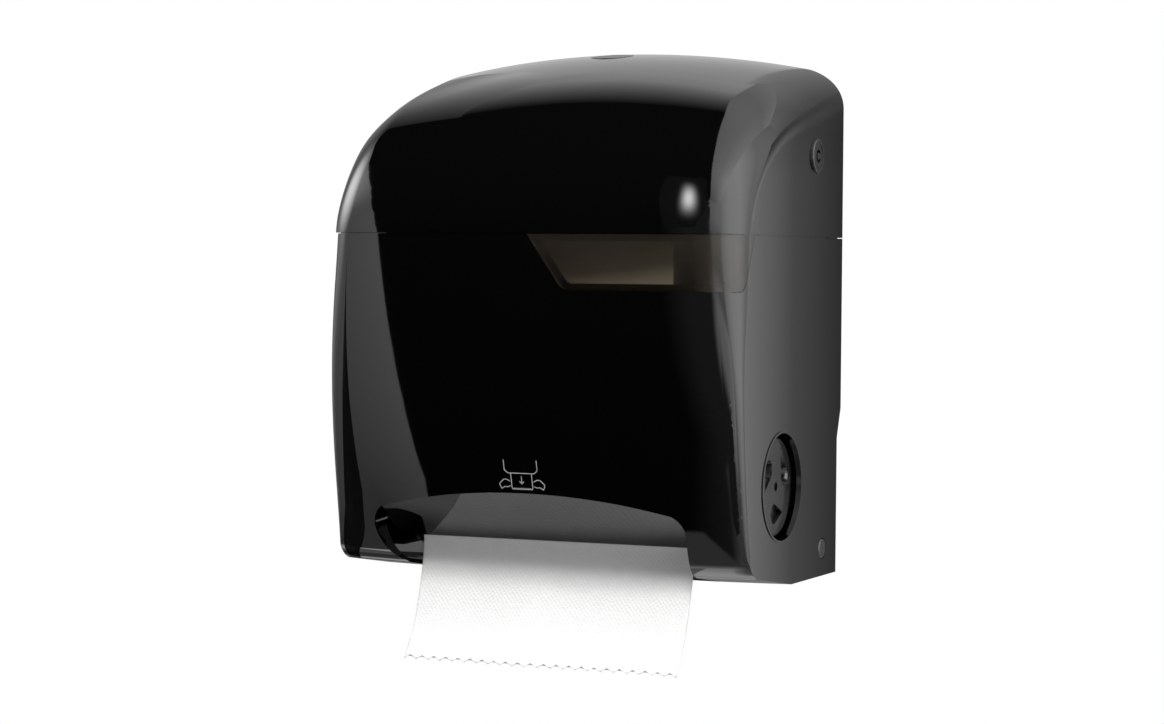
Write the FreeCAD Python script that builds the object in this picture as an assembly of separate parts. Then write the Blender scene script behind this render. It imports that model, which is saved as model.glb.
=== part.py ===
"""Hands-free roll towel dispenser with a cutting drum, wall mounted.

Frame: millimetres, +Z up, X to the right seen from the front, the front faces -Y.
The origin lies on the wall plane at the middle of the four wall screw slots, level
with the parting line between the upper and the lower cover shell.
"""
import FreeCAD
import Part
import math
import os

V = FreeCAD.Vector
X_AXIS = V(1, 0, 0)
Y_AXIS = V(0, 1, 0)
Z_AXIS = V(0, 0, 1)

# Cover shell
cover_half_width = 154.3
cover_depth = 213.0
cover_top = 131.4
cover_drop = 234.0
cover_wall = 3.0
side_draft_deg = 1.5
front_radius = 600.0
fin_radius = 936.0
bottom_roll_radius = 22.0
chin_slope = 0.15
chin_start = 111.0
bow_half_width = 131.0
crown_drop = 13.0
front_bow = 12.0
parting_gap = 0.6
rear_edge = 1.0
relief_depth = 8.5
relief_top = 119.0
relief_low = 140.0
floor_rear_edge = 52.0

# Window in the lower shell
window_left = 6.0
window_slant = 0.68
window_height = 37.0
window_rear = 172.0
window_rear_slant = 0.43
window_corner = 7.0
window_clearance = 0.25
window_ledge = 4.5
window_ledge_thickness = 1.6
lap_rear = 24.0
lap_play = 0.3

# Towel mouth, wider on the left of the towel than on the right
mouth_middle = -8.0
mouth_half_width = 102.0
mouth_apex_drop = 172.6
mouth_arch_rise = 11.3
mouth_left = 125.5
mouth_right = 104.5
mouth_shoulder_drop = 201.0
mouth_bottom_drop = 225.0
mouth_bottom_left = 107.0
mouth_rear = 105.0
mouth_rim_wall = 2.2
mouth_rim_rear = 152.0
visor_left = 117.0
visor_right = 102.0
visor_thickness = 2.0
lip_back = 148.5
lip_drop = 207.5
crease_top = 131.3
crease_middle = 138.4
crease_bottom = 141.3
crease_end = 147.2

# Paper
towel_width = 200.0
towel_thickness = 0.4
roll_radius = 91.5
roll_centre_y = -98.0
roll_centre_z = -18.0
core_outer_radius = 22.0
core_wall = 1.6
tail_drop = 290.0
tail_swing = 175.5

# Drum and its drive
drum_y = -117.0
drum_z = -167.0
drum_radius = 40.0
drum_wall = 3.0
drum_half_length = 102.0
shaft_radius = 4.0
shaft_left = -134.0
running_clearance = 0.05
sheet_gap = 0.3
nip_angle_deg = 35.0
pinch_radius = 9.6
pinch_shaft_radius = 2.5
wheel_radius = 33.0
wheel_width = 13.0
wheel_face = 146.8
wheel_hole_radius = 35.8
rim_bead = 1.6

# Module side plates
plate_inner = 114.0
plate_thickness = 3.0
bush_radius = 8.0

# Knife inside the drum
knife_pivot_radius = 24.0
knife_pivot_shaft = 2.0
knife_reach = 21.0
knife_angle_deg = 25.0
follower_radius = 4.0
follower_arm = 12.0

# Back plate
back_thickness = 3.0
back_clearance = 1.0
back_rim_depth = 16.0
back_rim_wall = 2.5
back_bottom = 226.0
shelf_depth = 50.0
shelf_half_width = 137.0
slot_spacing_x = 160.0
slot_spacing_z = 184.0
slot_radius = 2.75
slot_length = 11.0

# Cover hinge
hinge_y = -37.0
hinge_z = -215.0
hinge_head_radius = 7.2
hinge_shank_radius = 4.0
ear_thickness = 4.0

# Lock and top button
lock_y = -55.4
lock_z = 55.6
lock_radius = 11.6
plug_radius = 8.6
cam_length = 27.5
button_y = -54.0
button_radius = 14.7
button_gap = 0.4

# Roll arms
arm_inner = 106.0
arm_thickness = 4.0
hub_gap = 0.3
arm_pin_y = -10.0
arm_pin_x = -117.0
arm_pin_radius = 2.0

# Screwed tabs between the shells
tab_places = (-40.0, -150.0)
tab_half = 7.0
tab_height = 18.0
tab_thickness = 3.0
tab_screw_radius = 1.6
floor_half_width = 150.5

# Frame of the feed mechanism
tie_y = -140.0
tie_z = -116.0
tie_radius = 3.0
bridge_y = -42.0
mech_screw_radius = 1.9
post_y = -50.0
post_z = -150.0
ear_x = 143.0
hinge_boss_x = 147.4
rib_x = 125.0
band_places = (-76.0, -26.0, 26.0, 76.0)
band_width = 34.0
band_thickness = 1.2
pinch_arm_x = 105.5
wheel_core_x = 138.0
crank_x = -125.0
cam_depth = 6.6
track_radius = 26.2
follower_arm_x = -106.8
slot_angle_low = 56.0
slot_angle_high = 82.0
blade_teeth = 22
scoop_place = 18.4
scoop_radius = 6.6
scoop_depth = 5.0
exit_angle_deg = 20.7
tail_teeth = 22
tooth_height = 3.5

# Lock, button and latch seats
lock_body_radius = 10.0
lock_pad_radius = 16.0
lock_pad_x = 147.6
lock_seat_x = 152.3
lock_sleeve_x = 141.0
cam_x = 129.0
catch_front = -68.5
button_boss_radius = 17.5
button_boss_depth = 16.0
button_stem = 4.0
button_stem_depth = 19.5
tongue_z = 104.6
tongue_front = -73.5

draft = math.tan(math.radians(side_draft_deg))
half_gap = parting_gap / 2


def box(x0, x1, y0, y1, z0, z1):
    """Block between two opposite corners."""
    return Part.makeBox(x1 - x0, y1 - y0, z1 - z0, V(x0, y0, z0))


def rod_x(radius, x0, x1, y, z):
    """Round bar along X."""
    return Part.makeCylinder(radius, x1 - x0, V(x0, y, z), X_AXIS)


def tube_x(outer, inner, x0, x1, y, z):
    """Round tube along X."""
    return rod_x(outer, x0, x1, y, z).cut(rod_x(inner, x0 - 1, x1 + 1, y, z))


def rod_y(radius, y0, y1, x, z):
    """Round bar along Y."""
    return Part.makeCylinder(radius, y1 - y0, V(x, y0, z), Y_AXIS)


def rod_z(radius, z0, z1, x, y):
    """Round bar along Z."""
    return Part.makeCylinder(radius, z1 - z0, V(x, y, z0), Z_AXIS)


def plate_x(points, x0, x1):
    """Flat plate whose outline is given in Y and Z."""
    outline = Part.makePolygon([V(x0, y, z) for y, z in points + points[:1]])
    return Part.Face(outline).extrude(V(x1 - x0, 0, 0))


def plate_y(points, y0, y1):
    """Flat plate whose outline is given in X and Z."""
    outline = Part.makePolygon([V(x, y0, z) for x, z in points + points[:1]])
    return Part.Face(outline).extrude(V(0, y1 - y0, 0))


def round_upright(shape, radius, direction, pick=None):
    """Round the edges of a shape that run along a direction."""
    chosen = []
    for edge in shape.Edges:
        if not isinstance(edge.Curve, Part.Line):
            continue
        if abs(edge.tangentAt(edge.FirstParameter).dot(direction)) < 0.999:
            continue
        if pick is None or pick(edge.CenterOfMass):
            chosen.append(edge)
    return shape.makeFillet(radius, chosen)


def join(shapes):
    """One solid out of touching or crossing ones."""
    result = shapes[0]
    for shape in shapes[1:]:
        result = result.fuse(shape)
    return result.removeSplitter()


def mirrored(shape):
    """The same piece on the other side of the centre plane."""
    return shape.mirror(V(0, 0, 0), X_AXIS)


def polar(angle_deg, radius, y=0.0, z=0.0):
    """Point in Y and Z, the angle counted from +Y towards +Z."""
    angle = math.radians(angle_deg)
    return y + radius * math.cos(angle), z + radius * math.sin(angle)


def side_x(y):
    """Half width of the cover's outside at a depth."""
    return cover_half_width + draft * y


def eased(value, knots):
    """Smooth value through a few (position, size) knots."""
    if value <= knots[0][0]:
        return knots[0][1]
    for (p0, s0), (p1, s1) in zip(knots, knots[1:]):
        if value <= p1:
            share = (value - p0) / (p1 - p0)
            share = share * share * (3 - 2 * share)
            return s0 + (s1 - s0) * share
    return knots[-1][1]


# The cover is skinned over sections that fan out from an axis behind the wall.
fan_y = 60.0
fan_z = -50.0
fan_core = 20.0
upper_fan = (78, 68, 58, 49, 41, 34, 28, 22, 16, 10, 4)
lower_fan = (52, 34, 18, 4, -9, -21, -33, -46, -61, -78)


def corner_radius(angle):
    """Radius between the sides and the front or top, all round the fan."""
    return eased(angle, [(-60, 4.0), (-29, 5.0), (-13, 7.0), (10, 22.5),
                         (24, 32.0), (36, 44.0), (48, 46.0), (60, 38.0), (72, 30.0)])


def bow_depth(angle):
    """How far the front or top falls back at the edge of its bow."""
    return eased(angle, [(-34, front_bow - 3), (10, front_bow), (30, front_bow + 1),
                         (46, crown_drop + 4), (58, crown_drop + 2), (72, crown_drop)])


def ellipse_reach(direction, inset):
    """Distance along the ray to the front and top curve of the upper shell."""
    wide = cover_depth - inset
    high = cover_top - inset
    a = (direction.y / wide) ** 2 + (direction.z / high) ** 2
    b = 2 * (fan_y * direction.y / wide ** 2 + fan_z * direction.z / high ** 2)
    c = (fan_y / wide) ** 2 + (fan_z / high) ** 2 - 1
    return (-b + math.sqrt(b * b - 4 * a * c)) / (2 * a)


def circle_reach(direction, centre_y, centre_z, radius):
    """Distance along the ray to the far side of a circle."""
    dy = fan_y - centre_y
    dz = fan_z - centre_z
    b = dy * direction.y + dz * direction.z
    return -b + math.sqrt(b * b - dy * dy - dz * dz + radius * radius)


def cover_reach(direction, inset, form):
    """Distance along the ray to one of the three cover forms."""
    if form == "upper":
        return ellipse_reach(direction, inset)
    radius = fin_radius if form == "fins" else front_radius
    return circle_reach(direction, radius - cover_depth, 0, radius - inset)


def fan_section(angle, inset, form):
    """Closed outline of the cover in one plane of the fan."""
    turn = math.radians(angle)
    direction = V(0, -math.cos(turn), math.sin(turn))
    reach = cover_reach(direction, inset, form)
    radius = max(corner_radius(angle) - inset, 1.0)
    bow = bow_half_width ** 2 / (2 * bow_depth(angle)) - inset
    bow_centre = reach - bow
    slope = draft * math.cos(turn)
    base = cover_half_width - inset + draft * fan_y
    lean = math.hypot(1, slope)
    # Corner centre: one corner radius inside the side line and inside the bow.
    start = V(base - radius * lean, 0, 0)
    a = 1 + slope * slope
    b = -2 * (start.x * slope + bow_centre)
    c = start.x ** 2 + bow_centre ** 2 - (bow - radius) ** 2
    along = (-b + math.sqrt(b * b - 4 * a * c)) / (2 * a)
    corner_x = start.x - slope * along
    touch_side = (corner_x + radius / lean, along + radius * slope / lean)
    share = bow / (bow - radius)
    touch_bow = (corner_x * share, bow_centre + (along - bow_centre) * share)
    mid_turn = (math.atan2(touch_side[1] - along, touch_side[0] - corner_x)
                + math.atan2(touch_bow[1] - along, touch_bow[0] - corner_x)) / 2
    mid = (corner_x + radius * math.cos(mid_turn), along + radius * math.sin(mid_turn))

    def place(x, r):
        return V(x, fan_y + r * direction.y, fan_z + r * direction.z)

    foot = (base - slope * fan_core, fan_core)
    edges = [
        Part.LineSegment(place(-foot[0], foot[1]), place(foot[0], foot[1])),
        Part.LineSegment(place(*foot), place(*touch_side)),
        Part.Arc(place(*touch_side), place(*mid), place(*touch_bow)),
        Part.Arc(place(*touch_bow), place(0, reach), place(-touch_bow[0], touch_bow[1])),
        Part.Arc(place(-touch_bow[0], touch_bow[1]), place(-mid[0], mid[1]),
                 place(-touch_side[0], touch_side[1])),
        Part.LineSegment(place(-touch_side[0], touch_side[1]), place(-foot[0], foot[1])),
    ]
    return Part.Wire([edge.toShape() for edge in edges])


def bottom_form(inset, form):
    """Floor, chin ramp and bottom roll, turned about the upright axis of the front's bow."""
    radius = fin_radius if form == "fins" else front_radius
    front_centre = radius - cover_depth
    tilt = math.atan(chin_slope)
    spread = radius - bottom_roll_radius
    level = (-cover_drop - chin_start * chin_slope) * math.cos(tilt) + bottom_roll_radius
    turn = math.asin((front_centre * math.sin(tilt) - level) / spread) - tilt
    centre = V(0, front_centre - spread * math.cos(turn), -spread * math.sin(turn))
    roll = bottom_roll_radius - inset
    touch_front = centre - V(0, math.cos(turn), math.sin(turn)) * roll
    touch_ramp = centre - V(0, math.sin(tilt), math.cos(tilt)) * roll
    mid_turn = (turn + math.pi / 2 - tilt) / 2
    mid = centre - V(0, math.cos(mid_turn), math.sin(mid_turn)) * roll
    climb = (60 - touch_front.z) / math.cos(turn)
    above = touch_front + V(0, -math.sin(turn), math.cos(turn)) * climb
    floor = -cover_drop + inset
    knee = touch_ramp.y + (touch_ramp.z - floor) / chin_slope
    corners = [touch_ramp, V(0, knee, floor), V(0, 50, floor), V(0, 50, 60), above, touch_front]
    edges = [Part.LineSegment(a, b).toShape() for a, b in zip(corners, corners[1:])]
    edges.append(Part.Arc(touch_front, mid, touch_ramp).toShape())
    bow = bow_half_width ** 2 / (2 * (front_bow - 3))
    axis = V(0, bow - cover_depth, 0)
    half_turn = 15
    profile = Part.Face(Part.Wire(edges)).rotate(axis, Z_AXIS, -half_turn)
    return profile.revolve(axis, Z_AXIS, 2 * half_turn)


def cover_body(inset, form):
    """Solid form of the upper or lower cover, all faces set in by an amount."""
    angles = upper_fan if form == "upper" else lower_fan
    loft = Part.makeLoft([fan_section(angle, inset, form) for angle in angles], True, False)
    return loft if form == "upper" else loft.common(bottom_form(inset, form))


def shell_layer(form, outside, inside, z0, z1):
    """Wall of the cover between two insets and two levels, open at the back."""
    block = box(-200, 200, -300, -rear_edge, z0, z1)
    return cover_body(outside, form).common(block).cut(cover_body(inside, form))


def plate_z(points, z0, z1):
    """Flat plate whose outline is given in X and Y."""
    outline = Part.makePolygon([V(x, y, z0) for x, y in points + points[:1]])
    return Part.Face(outline).extrude(V(0, 0, z1 - z0))


def sector(angle0, angle1, radius, x0, x1, y, z):
    """Wedge about an axis along X, between two angles less than half a turn apart."""
    reach = radius / math.cos(math.radians(angle1 - angle0) / 2)
    middle = (angle0 + angle1) / 2
    corners = [(y, z)] + [polar(angle, reach, y, z) for angle in (angle0, middle, angle1)]
    return plate_x(corners, x0, x1)


def arm_plate(ends, x0, x1):
    """Flat arm whose outline runs round several discs, given as (y, z, radius)."""
    parts = [rod_x(radius, x0, x1, y, z) for y, z, radius in ends]
    for (ya, za, ra), (yb, zb, rb) in zip(ends, ends[1:]):
        turn = math.degrees(math.atan2(zb - za, yb - ya))
        spread = math.degrees(math.acos((ra - rb) / math.hypot(yb - ya, zb - za)))
        corners = [polar(turn + spread, ra, ya, za), polar(turn - spread, ra, ya, za),
                   polar(turn - spread, rb, yb, zb), polar(turn + spread, rb, yb, zb)]
        parts.append(plate_x(corners, x0, x1))
    return join(parts)


# Cover, upper shell
button_tilt = math.radians(9.2)
button_out = V(0, -math.sin(button_tilt), math.cos(button_tilt))
button_seat = V(0, button_y, 126.2)


def button_rod(radius, low, high):
    """Round bar on the button's axis between two heights over its seat."""
    return Part.makeCylinder(radius, high - low, button_seat + button_out * low, button_out)


def side_bar(radius, x0, x1, y, z):
    """Round bar square to the drafted right side of the cover."""
    outward = V(1, -draft, 0)
    start = V(x0, y, z)
    return Part.makeCylinder(radius, x1 - x0, start, outward)


def cover_tab(y0, y1):
    """Tab of the lower shell that laps the inside of the upper shell."""
    def slab(outer, inner, z0, z1):
        return plate_z([(side_x(y0) - outer, y0), (side_x(y1) - outer, y1),
                        (side_x(y1) - inner, y1), (side_x(y0) - inner, y0)], z0, z1)
    depth = cover_wall + tab_thickness
    return join([slab(cover_wall - 1, depth, -tab_height, -half_gap),
                 slab(cover_wall + running_clearance, depth, -half_gap, tab_height)])


def tab_screw(y):
    """Screw from inside through a tab into the upper shell's wall."""
    wall = side_x(y)
    head = rod_x(tab_screw_radius * 2, wall - cover_wall - tab_thickness - 2.2,
                 wall - cover_wall - tab_thickness - 0.1, y, tab_height / 2)
    shank = rod_x(tab_screw_radius, wall - cover_wall - tab_thickness - 0.2, wall - 0.9,
                  y, tab_height / 2)
    return join([head, shank])


def build_cover_upper():
    shell = shell_layer("upper", 0, cover_wall, half_gap, cover_top + 5)
    boss = button_rod(button_boss_radius, -button_boss_depth, 0).common(cover_body(0.5, "upper"))
    floor_top = -button_boss_depth + 2
    shell = shell.fuse(boss)
    shell = shell.cut(button_rod(button_radius + button_gap, floor_top, 10))
    shell = shell.cut(button_rod(button_stem + running_clearance, -30, 10))
    pad = rod_x(lock_pad_radius, lock_pad_x, side_x(lock_y) - 1, lock_y, lock_z)
    shell = shell.fuse(pad)
    shell = shell.cut(rod_x(lock_body_radius, 120, 170, lock_y, lock_z))
    shell = shell.cut(rod_x(lock_radius + 0.1, lock_seat_x, 170, lock_y, lock_z))
    for y in tab_places:
        for screw in (tab_screw(y), mirrored(tab_screw(y))):
            shell = shell.cut(screw)
    return shell.removeSplitter()


# Cover, lower shell
def fin_side(extra):
    """Region outside the crease on the right, moved outward by an amount."""
    points = [(crease_top, 5), (crease_middle, -110), (crease_bottom, -185),
              (crease_bottom + 3.7, -205), (crease_bottom + 5.3, -216), (crease_end, -226),
              (crease_end, -240)]
    outline = [(x + extra, z) for x, z in points] + [(200, -240), (200, 5)]
    return plate_y(outline, -260, -120)


def mouth_outline(grow, y0, y1):
    """Prism of the mouth opening, its outline seen from the front, grown all round."""
    top = -mouth_apex_drop + grow
    shoulder = -mouth_apex_drop - mouth_arch_rise + grow
    left = -mouth_left - grow
    right = mouth_right + grow
    bend = math.sqrt(0.5)

    def edge_point(x, z):
        return V(x, y0, z)

    left_end = edge_point(mouth_middle - mouth_half_width - grow, shoulder)
    right_end = edge_point(mouth_middle + mouth_half_width, shoulder)
    left_side = edge_point(left, -mouth_shoulder_drop)
    right_side = edge_point(right, -mouth_shoulder_drop)
    left_low = edge_point(-mouth_bottom_left - grow, -mouth_bottom_drop)
    left_bulge = edge_point((left_side.x + left_low.x) / 2 - 3.6,
                            (left_side.z + left_low.z) / 2 - 1.4)

    def corner(a, b):
        mid = V(a.x + (b.x - a.x) * bend, y0, a.z + (b.z - a.z) * (1 - bend))
        return Part.Arc(a, mid, b)

    edges = [
        Part.Arc(left_end, edge_point(mouth_middle, top), right_end),
        corner(right_end, right_side),
        Part.LineSegment(right_side, edge_point(right, -260)),
        Part.LineSegment(edge_point(right, -260), edge_point(left_low.x, -260)),
        Part.LineSegment(edge_point(left_low.x, -260), left_low),
        Part.Arc(left_low, left_bulge, left_side),
        corner(left_end, left_side),
    ]
    wire = Part.Wire(Part.__sortEdges__([edge.toShape() for edge in edges]))
    return Part.Face(wire).extrude(V(0, y1 - y0, 0))


def front_y(x, z):
    """Depth of the lower front face, good to a few tenths of a millimetre."""
    middle = front_radius - cover_depth - math.sqrt(front_radius ** 2 - z * z)
    return middle + (front_bow - 3) * 0.9 * (x / bow_half_width) ** 2


def arch_z(x):
    """Height of the mouth's arch."""
    arch = (mouth_half_width ** 2 + mouth_arch_rise ** 2) / (2 * mouth_arch_rise)
    return -mouth_apex_drop - arch + math.sqrt(arch ** 2 - (x - mouth_middle) ** 2)


def visor():
    """Slanted panel from the mouth's arch back and down to a straight lip."""
    sections = []
    steps = 8
    for i in range(steps + 1):
        x = -visor_left + (visor_left + visor_right) * i / steps
        z = arch_z(x)
        y = front_y(x, z) + 0.3
        run = math.hypot(-lip_back - y, -lip_drop - z)
        back = V(0, (lip_drop + z) / run, (-lip_back - y) / run) * visor_thickness
        top = V(x, y, z)
        lip = V(x, -lip_back, -lip_drop)
        corners = [top, lip, lip + back, top + back + V(0, 2, 2), top + V(0, 0.6, 2)]
        sections.append(Part.makePolygon(corners + corners[:1]))
    return Part.makeLoft(sections, True, False)


def window_region(grow):
    """Region of the window, from the front round the right corner to the side."""
    drop = -window_height - grow
    left = window_left - grow * 1.2
    front = plate_y([(left, 0), (left + (window_height + grow) * window_slant, drop),
                     (220, drop), (220, 0)], -300, -130)
    front = round_upright(front, window_corner, Y_AXIS, lambda c: c.x < 100 and c.z < -10)
    rear = -window_rear + grow
    side = plate_x([(-300, 0), (rear, 0), (rear - (window_height + grow) * window_rear_slant, drop),
                    (-300, drop)], -200, 220)
    side = round_upright(side, window_corner, X_AXIS, lambda c: c.y > -250 and c.z < -10)
    top = -half_gap + min(grow, 0)
    return front.common(side).common(box(-200, 220, -300, 0, -100, top))


def build_window():
    return shell_layer("panel", 0, cover_wall, -window_height - 1, -half_gap).common(
        window_region(0))


def hinge_boss():
    return tube_x(hinge_head_radius + 3, hinge_head_radius + running_clearance,
                  hinge_boss_x, side_x(hinge_y) - 1, hinge_y, hinge_z)


def lower_form():
    """Solid outside and inside forms of the lower shell, shoulders included."""
    fins = cover_body(0, "fins").common(box(-200, 200, -260, -120, -240, -half_gap))
    fins = fins.common(fin_side(0))
    hollow = cover_body(cover_wall, "fins").common(box(-200, 200, -260, -120, -240, 0))
    hollow = hollow.common(fin_side(cover_wall))
    outside = cover_body(0, "panel").fuse(fins).fuse(mirrored(fins))
    inside = cover_body(cover_wall, "panel").fuse(hollow).fuse(mirrored(hollow))
    return outside, inside


def parting_tongue():
    """Rail of the lower shell that laps the upper shell and closes the parting line."""
    inner = cover_wall + window_ledge_thickness
    low = shell_layer("panel", cover_wall - 0.5, inner, -window_ledge, -half_gap)
    high = shell_layer("upper", cover_wall + lap_play, inner - lap_play, -half_gap, window_ledge)
    return low.fuse(high).common(box(-200, 200, -300, -lap_rear, -50, 50))


def build_cover_lower():
    low = -cover_drop - 5
    outside, inside = lower_form()
    ledge_form = cover_body(cover_wall + window_ledge_thickness, "panel")
    inside = inside.cut(window_region(window_ledge).cut(ledge_form))
    rear_block = box(-200, 200, -300, -rear_edge, low, -half_gap)
    outside = outside.common(rear_block)
    shell = outside.cut(inside).fuse(parting_tongue())
    shell = shell.cut(window_region(window_clearance).cut(cover_body(cover_wall, "panel")))
    shell = shell.cut(window_region(-window_ledge))
    # Rear edge set back at the bottom, and the floor open above the back plate's flange.
    shell = shell.cut(plate_x([(0, -relief_top + 2), (-rear_edge, -relief_top),
                               (-relief_depth, -relief_low), (-relief_depth, low), (0, low)],
                              -200, 200))
    shell = shell.cut(box(-floor_half_width, floor_half_width, -floor_rear_edge, 0, low, -225))
    shell = shell.cut(mouth_outline(0, -260, -mouth_rear))
    rim = mouth_outline(mouth_rim_wall, -230, -mouth_rim_rear).cut(mouth_outline(0, -231, -100))
    rim = rim.common(box(-200, 200, -300, 0, low, -mouth_shoulder_drop + 8))
    shell = shell.fuse(rim.common(outside))
    shell = shell.fuse(visor().common(outside))
    # Opening for the thumb wheel, with a light bead round it.
    wheel_side = side_x(drum_y)
    bead = side_bar(wheel_hole_radius + rim_bead, wheel_side - 1, wheel_side + 0.6, drum_y, drum_z)
    shell = shell.fuse(bead).cut(side_bar(wheel_hole_radius, 140, 160, drum_y, drum_z))
    for boss in (hinge_boss(), mirrored(hinge_boss())):
        shell = shell.fuse(boss)
    hole = rod_x(hinge_head_radius + running_clearance, hinge_boss_x - 1, 160, hinge_y, hinge_z)
    shell = shell.cut(hole).cut(mirrored(hole))
    for y in tab_places:
        for tab in (cover_tab(y - tab_half, y + tab_half),
                    mirrored(cover_tab(y - tab_half, y + tab_half))):
            shell = shell.fuse(tab)
        shell = shell.cut(tab_screw(y)).cut(mirrored(tab_screw(y)))
    return shell.removeSplitter()


def build_cover_screws():
    screws = [tab_screw(y) for y in tab_places]
    return Part.makeCompound(screws + [mirrored(screw) for screw in screws])


# Lock in the right side
def build_lock_sleeve():
    flange = rod_x(lock_radius, lock_seat_x, lock_seat_x + 2.2, lock_y, lock_z)
    flange = flange.makeFillet(0.8, [e for e in flange.Edges
                                     if e.CenterOfMass.x > lock_seat_x + 2])
    body = rod_x(lock_body_radius, lock_sleeve_x, lock_seat_x + 0.5, lock_y, lock_z)
    sleeve = join([flange, body])
    return sleeve.cut(rod_x(plug_radius + running_clearance, 120, 170, lock_y, lock_z))


def build_lock_nut():
    nut = tube_x(lock_body_radius + 4, lock_body_radius, lock_pad_x - 4, lock_pad_x,
                 lock_y, lock_z)
    for turn in (0, 120, 240):
        y, z = polar(turn, lock_body_radius + 5, lock_y, lock_z)
        nut = nut.cut(rod_x(2.2, lock_pad_x - 5, lock_pad_x + 1, y, z))
    return nut


def build_lock_plug():
    plug = rod_x(plug_radius, cam_x + 3, lock_seat_x + 1.8, lock_y, lock_z)
    tenon = rod_x(4, cam_x, cam_x + 3, lock_y, lock_z)
    slot = tube_x(4.6, 2.6, lock_seat_x - 5, lock_seat_x + 5, lock_y, lock_z)
    slot = slot.cut(box(100, 200, lock_y + 1, lock_y + 20, lock_z - 1.6, lock_z + 1.6))
    return join([plug, tenon]).cut(slot)


def build_lock_cam():
    cam = arm_plate([(lock_y, lock_z, plug_radius), (lock_y + cam_length - 5, lock_z, 5)],
                    cam_x, cam_x + 3)
    return cam.cut(rod_x(4, cam_x - 1, cam_x + 4, lock_y, lock_z))


def build_lock_catch():
    """Finger on the back plate that the cam turns up behind."""
    web = box(cam_x + 4, cam_x + 8, catch_front, -back_thickness, 70, 95)
    web = web.cut(plate_x([(catch_front + 12, 69), (-22, 69), (-22, 82), (catch_front + 12, 82)],
                          cam_x, cam_x + 9))
    finger = box(cam_x - 3, cam_x + 8, catch_front, catch_front + 3, 70, 95)
    foot = box(cam_x - 3, cam_x + 8, -back_thickness - 3, -back_thickness, 70, 95)
    return join([web, finger, foot])


# Top button and the latch tongue
def build_release_button():
    cap = button_rod(button_radius, -5, 1)
    cap = cap.makeFillet(0.9, [e for e in cap.Edges
                               if (e.CenterOfMass - button_seat).dot(button_out) > 0.9])
    return join([cap, button_rod(button_stem, -button_stem_depth, -4)])


def build_button_spring():
    return button_rod(9, -button_boss_depth + 2, -5).cut(button_rod(7.6, -30, 0))


def build_button_retainer():
    low = -button_boss_depth - 2
    return button_rod(6.5, low, low + 1.4).cut(button_rod(button_stem, -40, 0))


def build_latch_tongue():
    profile = [(-back_thickness, tongue_z - 9), (-back_thickness, tongue_z + 1.4),
               (tongue_front, tongue_z + 1.4), (tongue_front, tongue_z + 9.5),
               (tongue_front - 3, tongue_z + 7), (tongue_front - 5, tongue_z),
               (-back_thickness - 3, tongue_z), (-back_thickness - 3, tongue_z - 9)]
    return plate_x(profile, -10, 10)


# Back plate
def wall_slot(x, z):
    """Slot for one wall screw, long along X."""
    half = slot_length / 2 - slot_radius
    hole = box(x - half, x + half, -30, 10, z - slot_radius, z + slot_radius)
    return join([hole, rod_y(slot_radius, -30, 10, x - half, z),
                 rod_y(slot_radius, -30, 10, x + half, z)])


def hinge_ear():
    """Ear of the back plate on the right that carries a hinge pin."""
    ear = plate_x([(-back_thickness, hinge_z + 16), (hinge_y, hinge_z + 8),
                   (hinge_y, hinge_z - 8), (-back_thickness, hinge_z - 8)], ear_x,
                  ear_x + ear_thickness)
    ear = join([ear, rod_x(8, ear_x, ear_x + ear_thickness, hinge_y, hinge_z)])
    return ear.cut(rod_x(hinge_shank_radius, ear_x - 1, ear_x + 9, hinge_y, hinge_z))


def build_back_plate():
    inset = cover_wall + back_clearance
    half = cover_half_width - inset
    low = -back_bottom
    form = cover_body(inset, "upper").common(box(-200, 200, -back_rim_depth - back_thickness,
                                                 0, 0, 200))
    lower = box(-half, half, -back_thickness, 0, -back_bottom, 0)
    hollow = cover_body(inset + back_rim_wall, "upper").common(
        box(-200, 200, -100, -back_thickness, -1, 200))
    plate = form.cut(hollow)
    rim_front = -back_rim_depth - back_thickness
    for sign in (-1, 1):
        edge = sign * (half + draft * rim_front)
        lower = lower.fuse(box(min(edge, edge - sign * back_rim_wall),
                               max(edge, edge - sign * back_rim_wall),
                               rim_front, -back_thickness + 1, -back_bottom, 0))
    lower = lower.fuse(box(-shelf_half_width, shelf_half_width, -shelf_depth, -back_thickness + 1,
                           low, low + back_rim_wall))
    plate = plate.fuse(lower)
    for x in (-slot_spacing_x / 2, slot_spacing_x / 2):
        for z in (-slot_spacing_z / 2, slot_spacing_z / 2):
            pad = box(x - 11, x + 11, -back_thickness - 1.5, -back_thickness + 1, z - 8, z + 8)
            plate = plate.fuse(pad).cut(wall_slot(x, z))
    for x in (-rib_x, rib_x):
        plate = plate.fuse(box(x - 1.2, x + 1.2, -back_thickness - 5, -back_thickness + 1,
                               -back_bottom, 60))
    plate = plate.fuse(box(-rib_x, rib_x, -back_thickness - 5, -back_thickness + 1, 108, 111))
    for ear in (hinge_ear(), mirrored(hinge_ear())):
        plate = plate.fuse(ear)
    for x, z in mech_screw_places():
        plate = plate.cut(rod_y(mech_screw_radius, -back_thickness - 1, 1, x, z))
    return plate.removeSplitter()


def build_hinge_pin():
    head = rod_x(hinge_head_radius, ear_x + ear_thickness, side_x(hinge_y) + 0.4,
                 hinge_y, hinge_z)
    head = head.makeFillet(1.6, [e for e in head.Edges if e.CenterOfMass.x > side_x(hinge_y)])
    return join([head, rod_x(hinge_shank_radius, ear_x - 2, ear_x + ear_thickness + 1,
                             hinge_y, hinge_z)])


# Feed mechanism frame
def mech_screw_places():
    """Where the four screws of the mechanism stand, in X and Z."""
    inner = plate_inner - 7
    return [(x, z) for x in (-inner, inner) for z in (-124, -206)]


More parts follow.
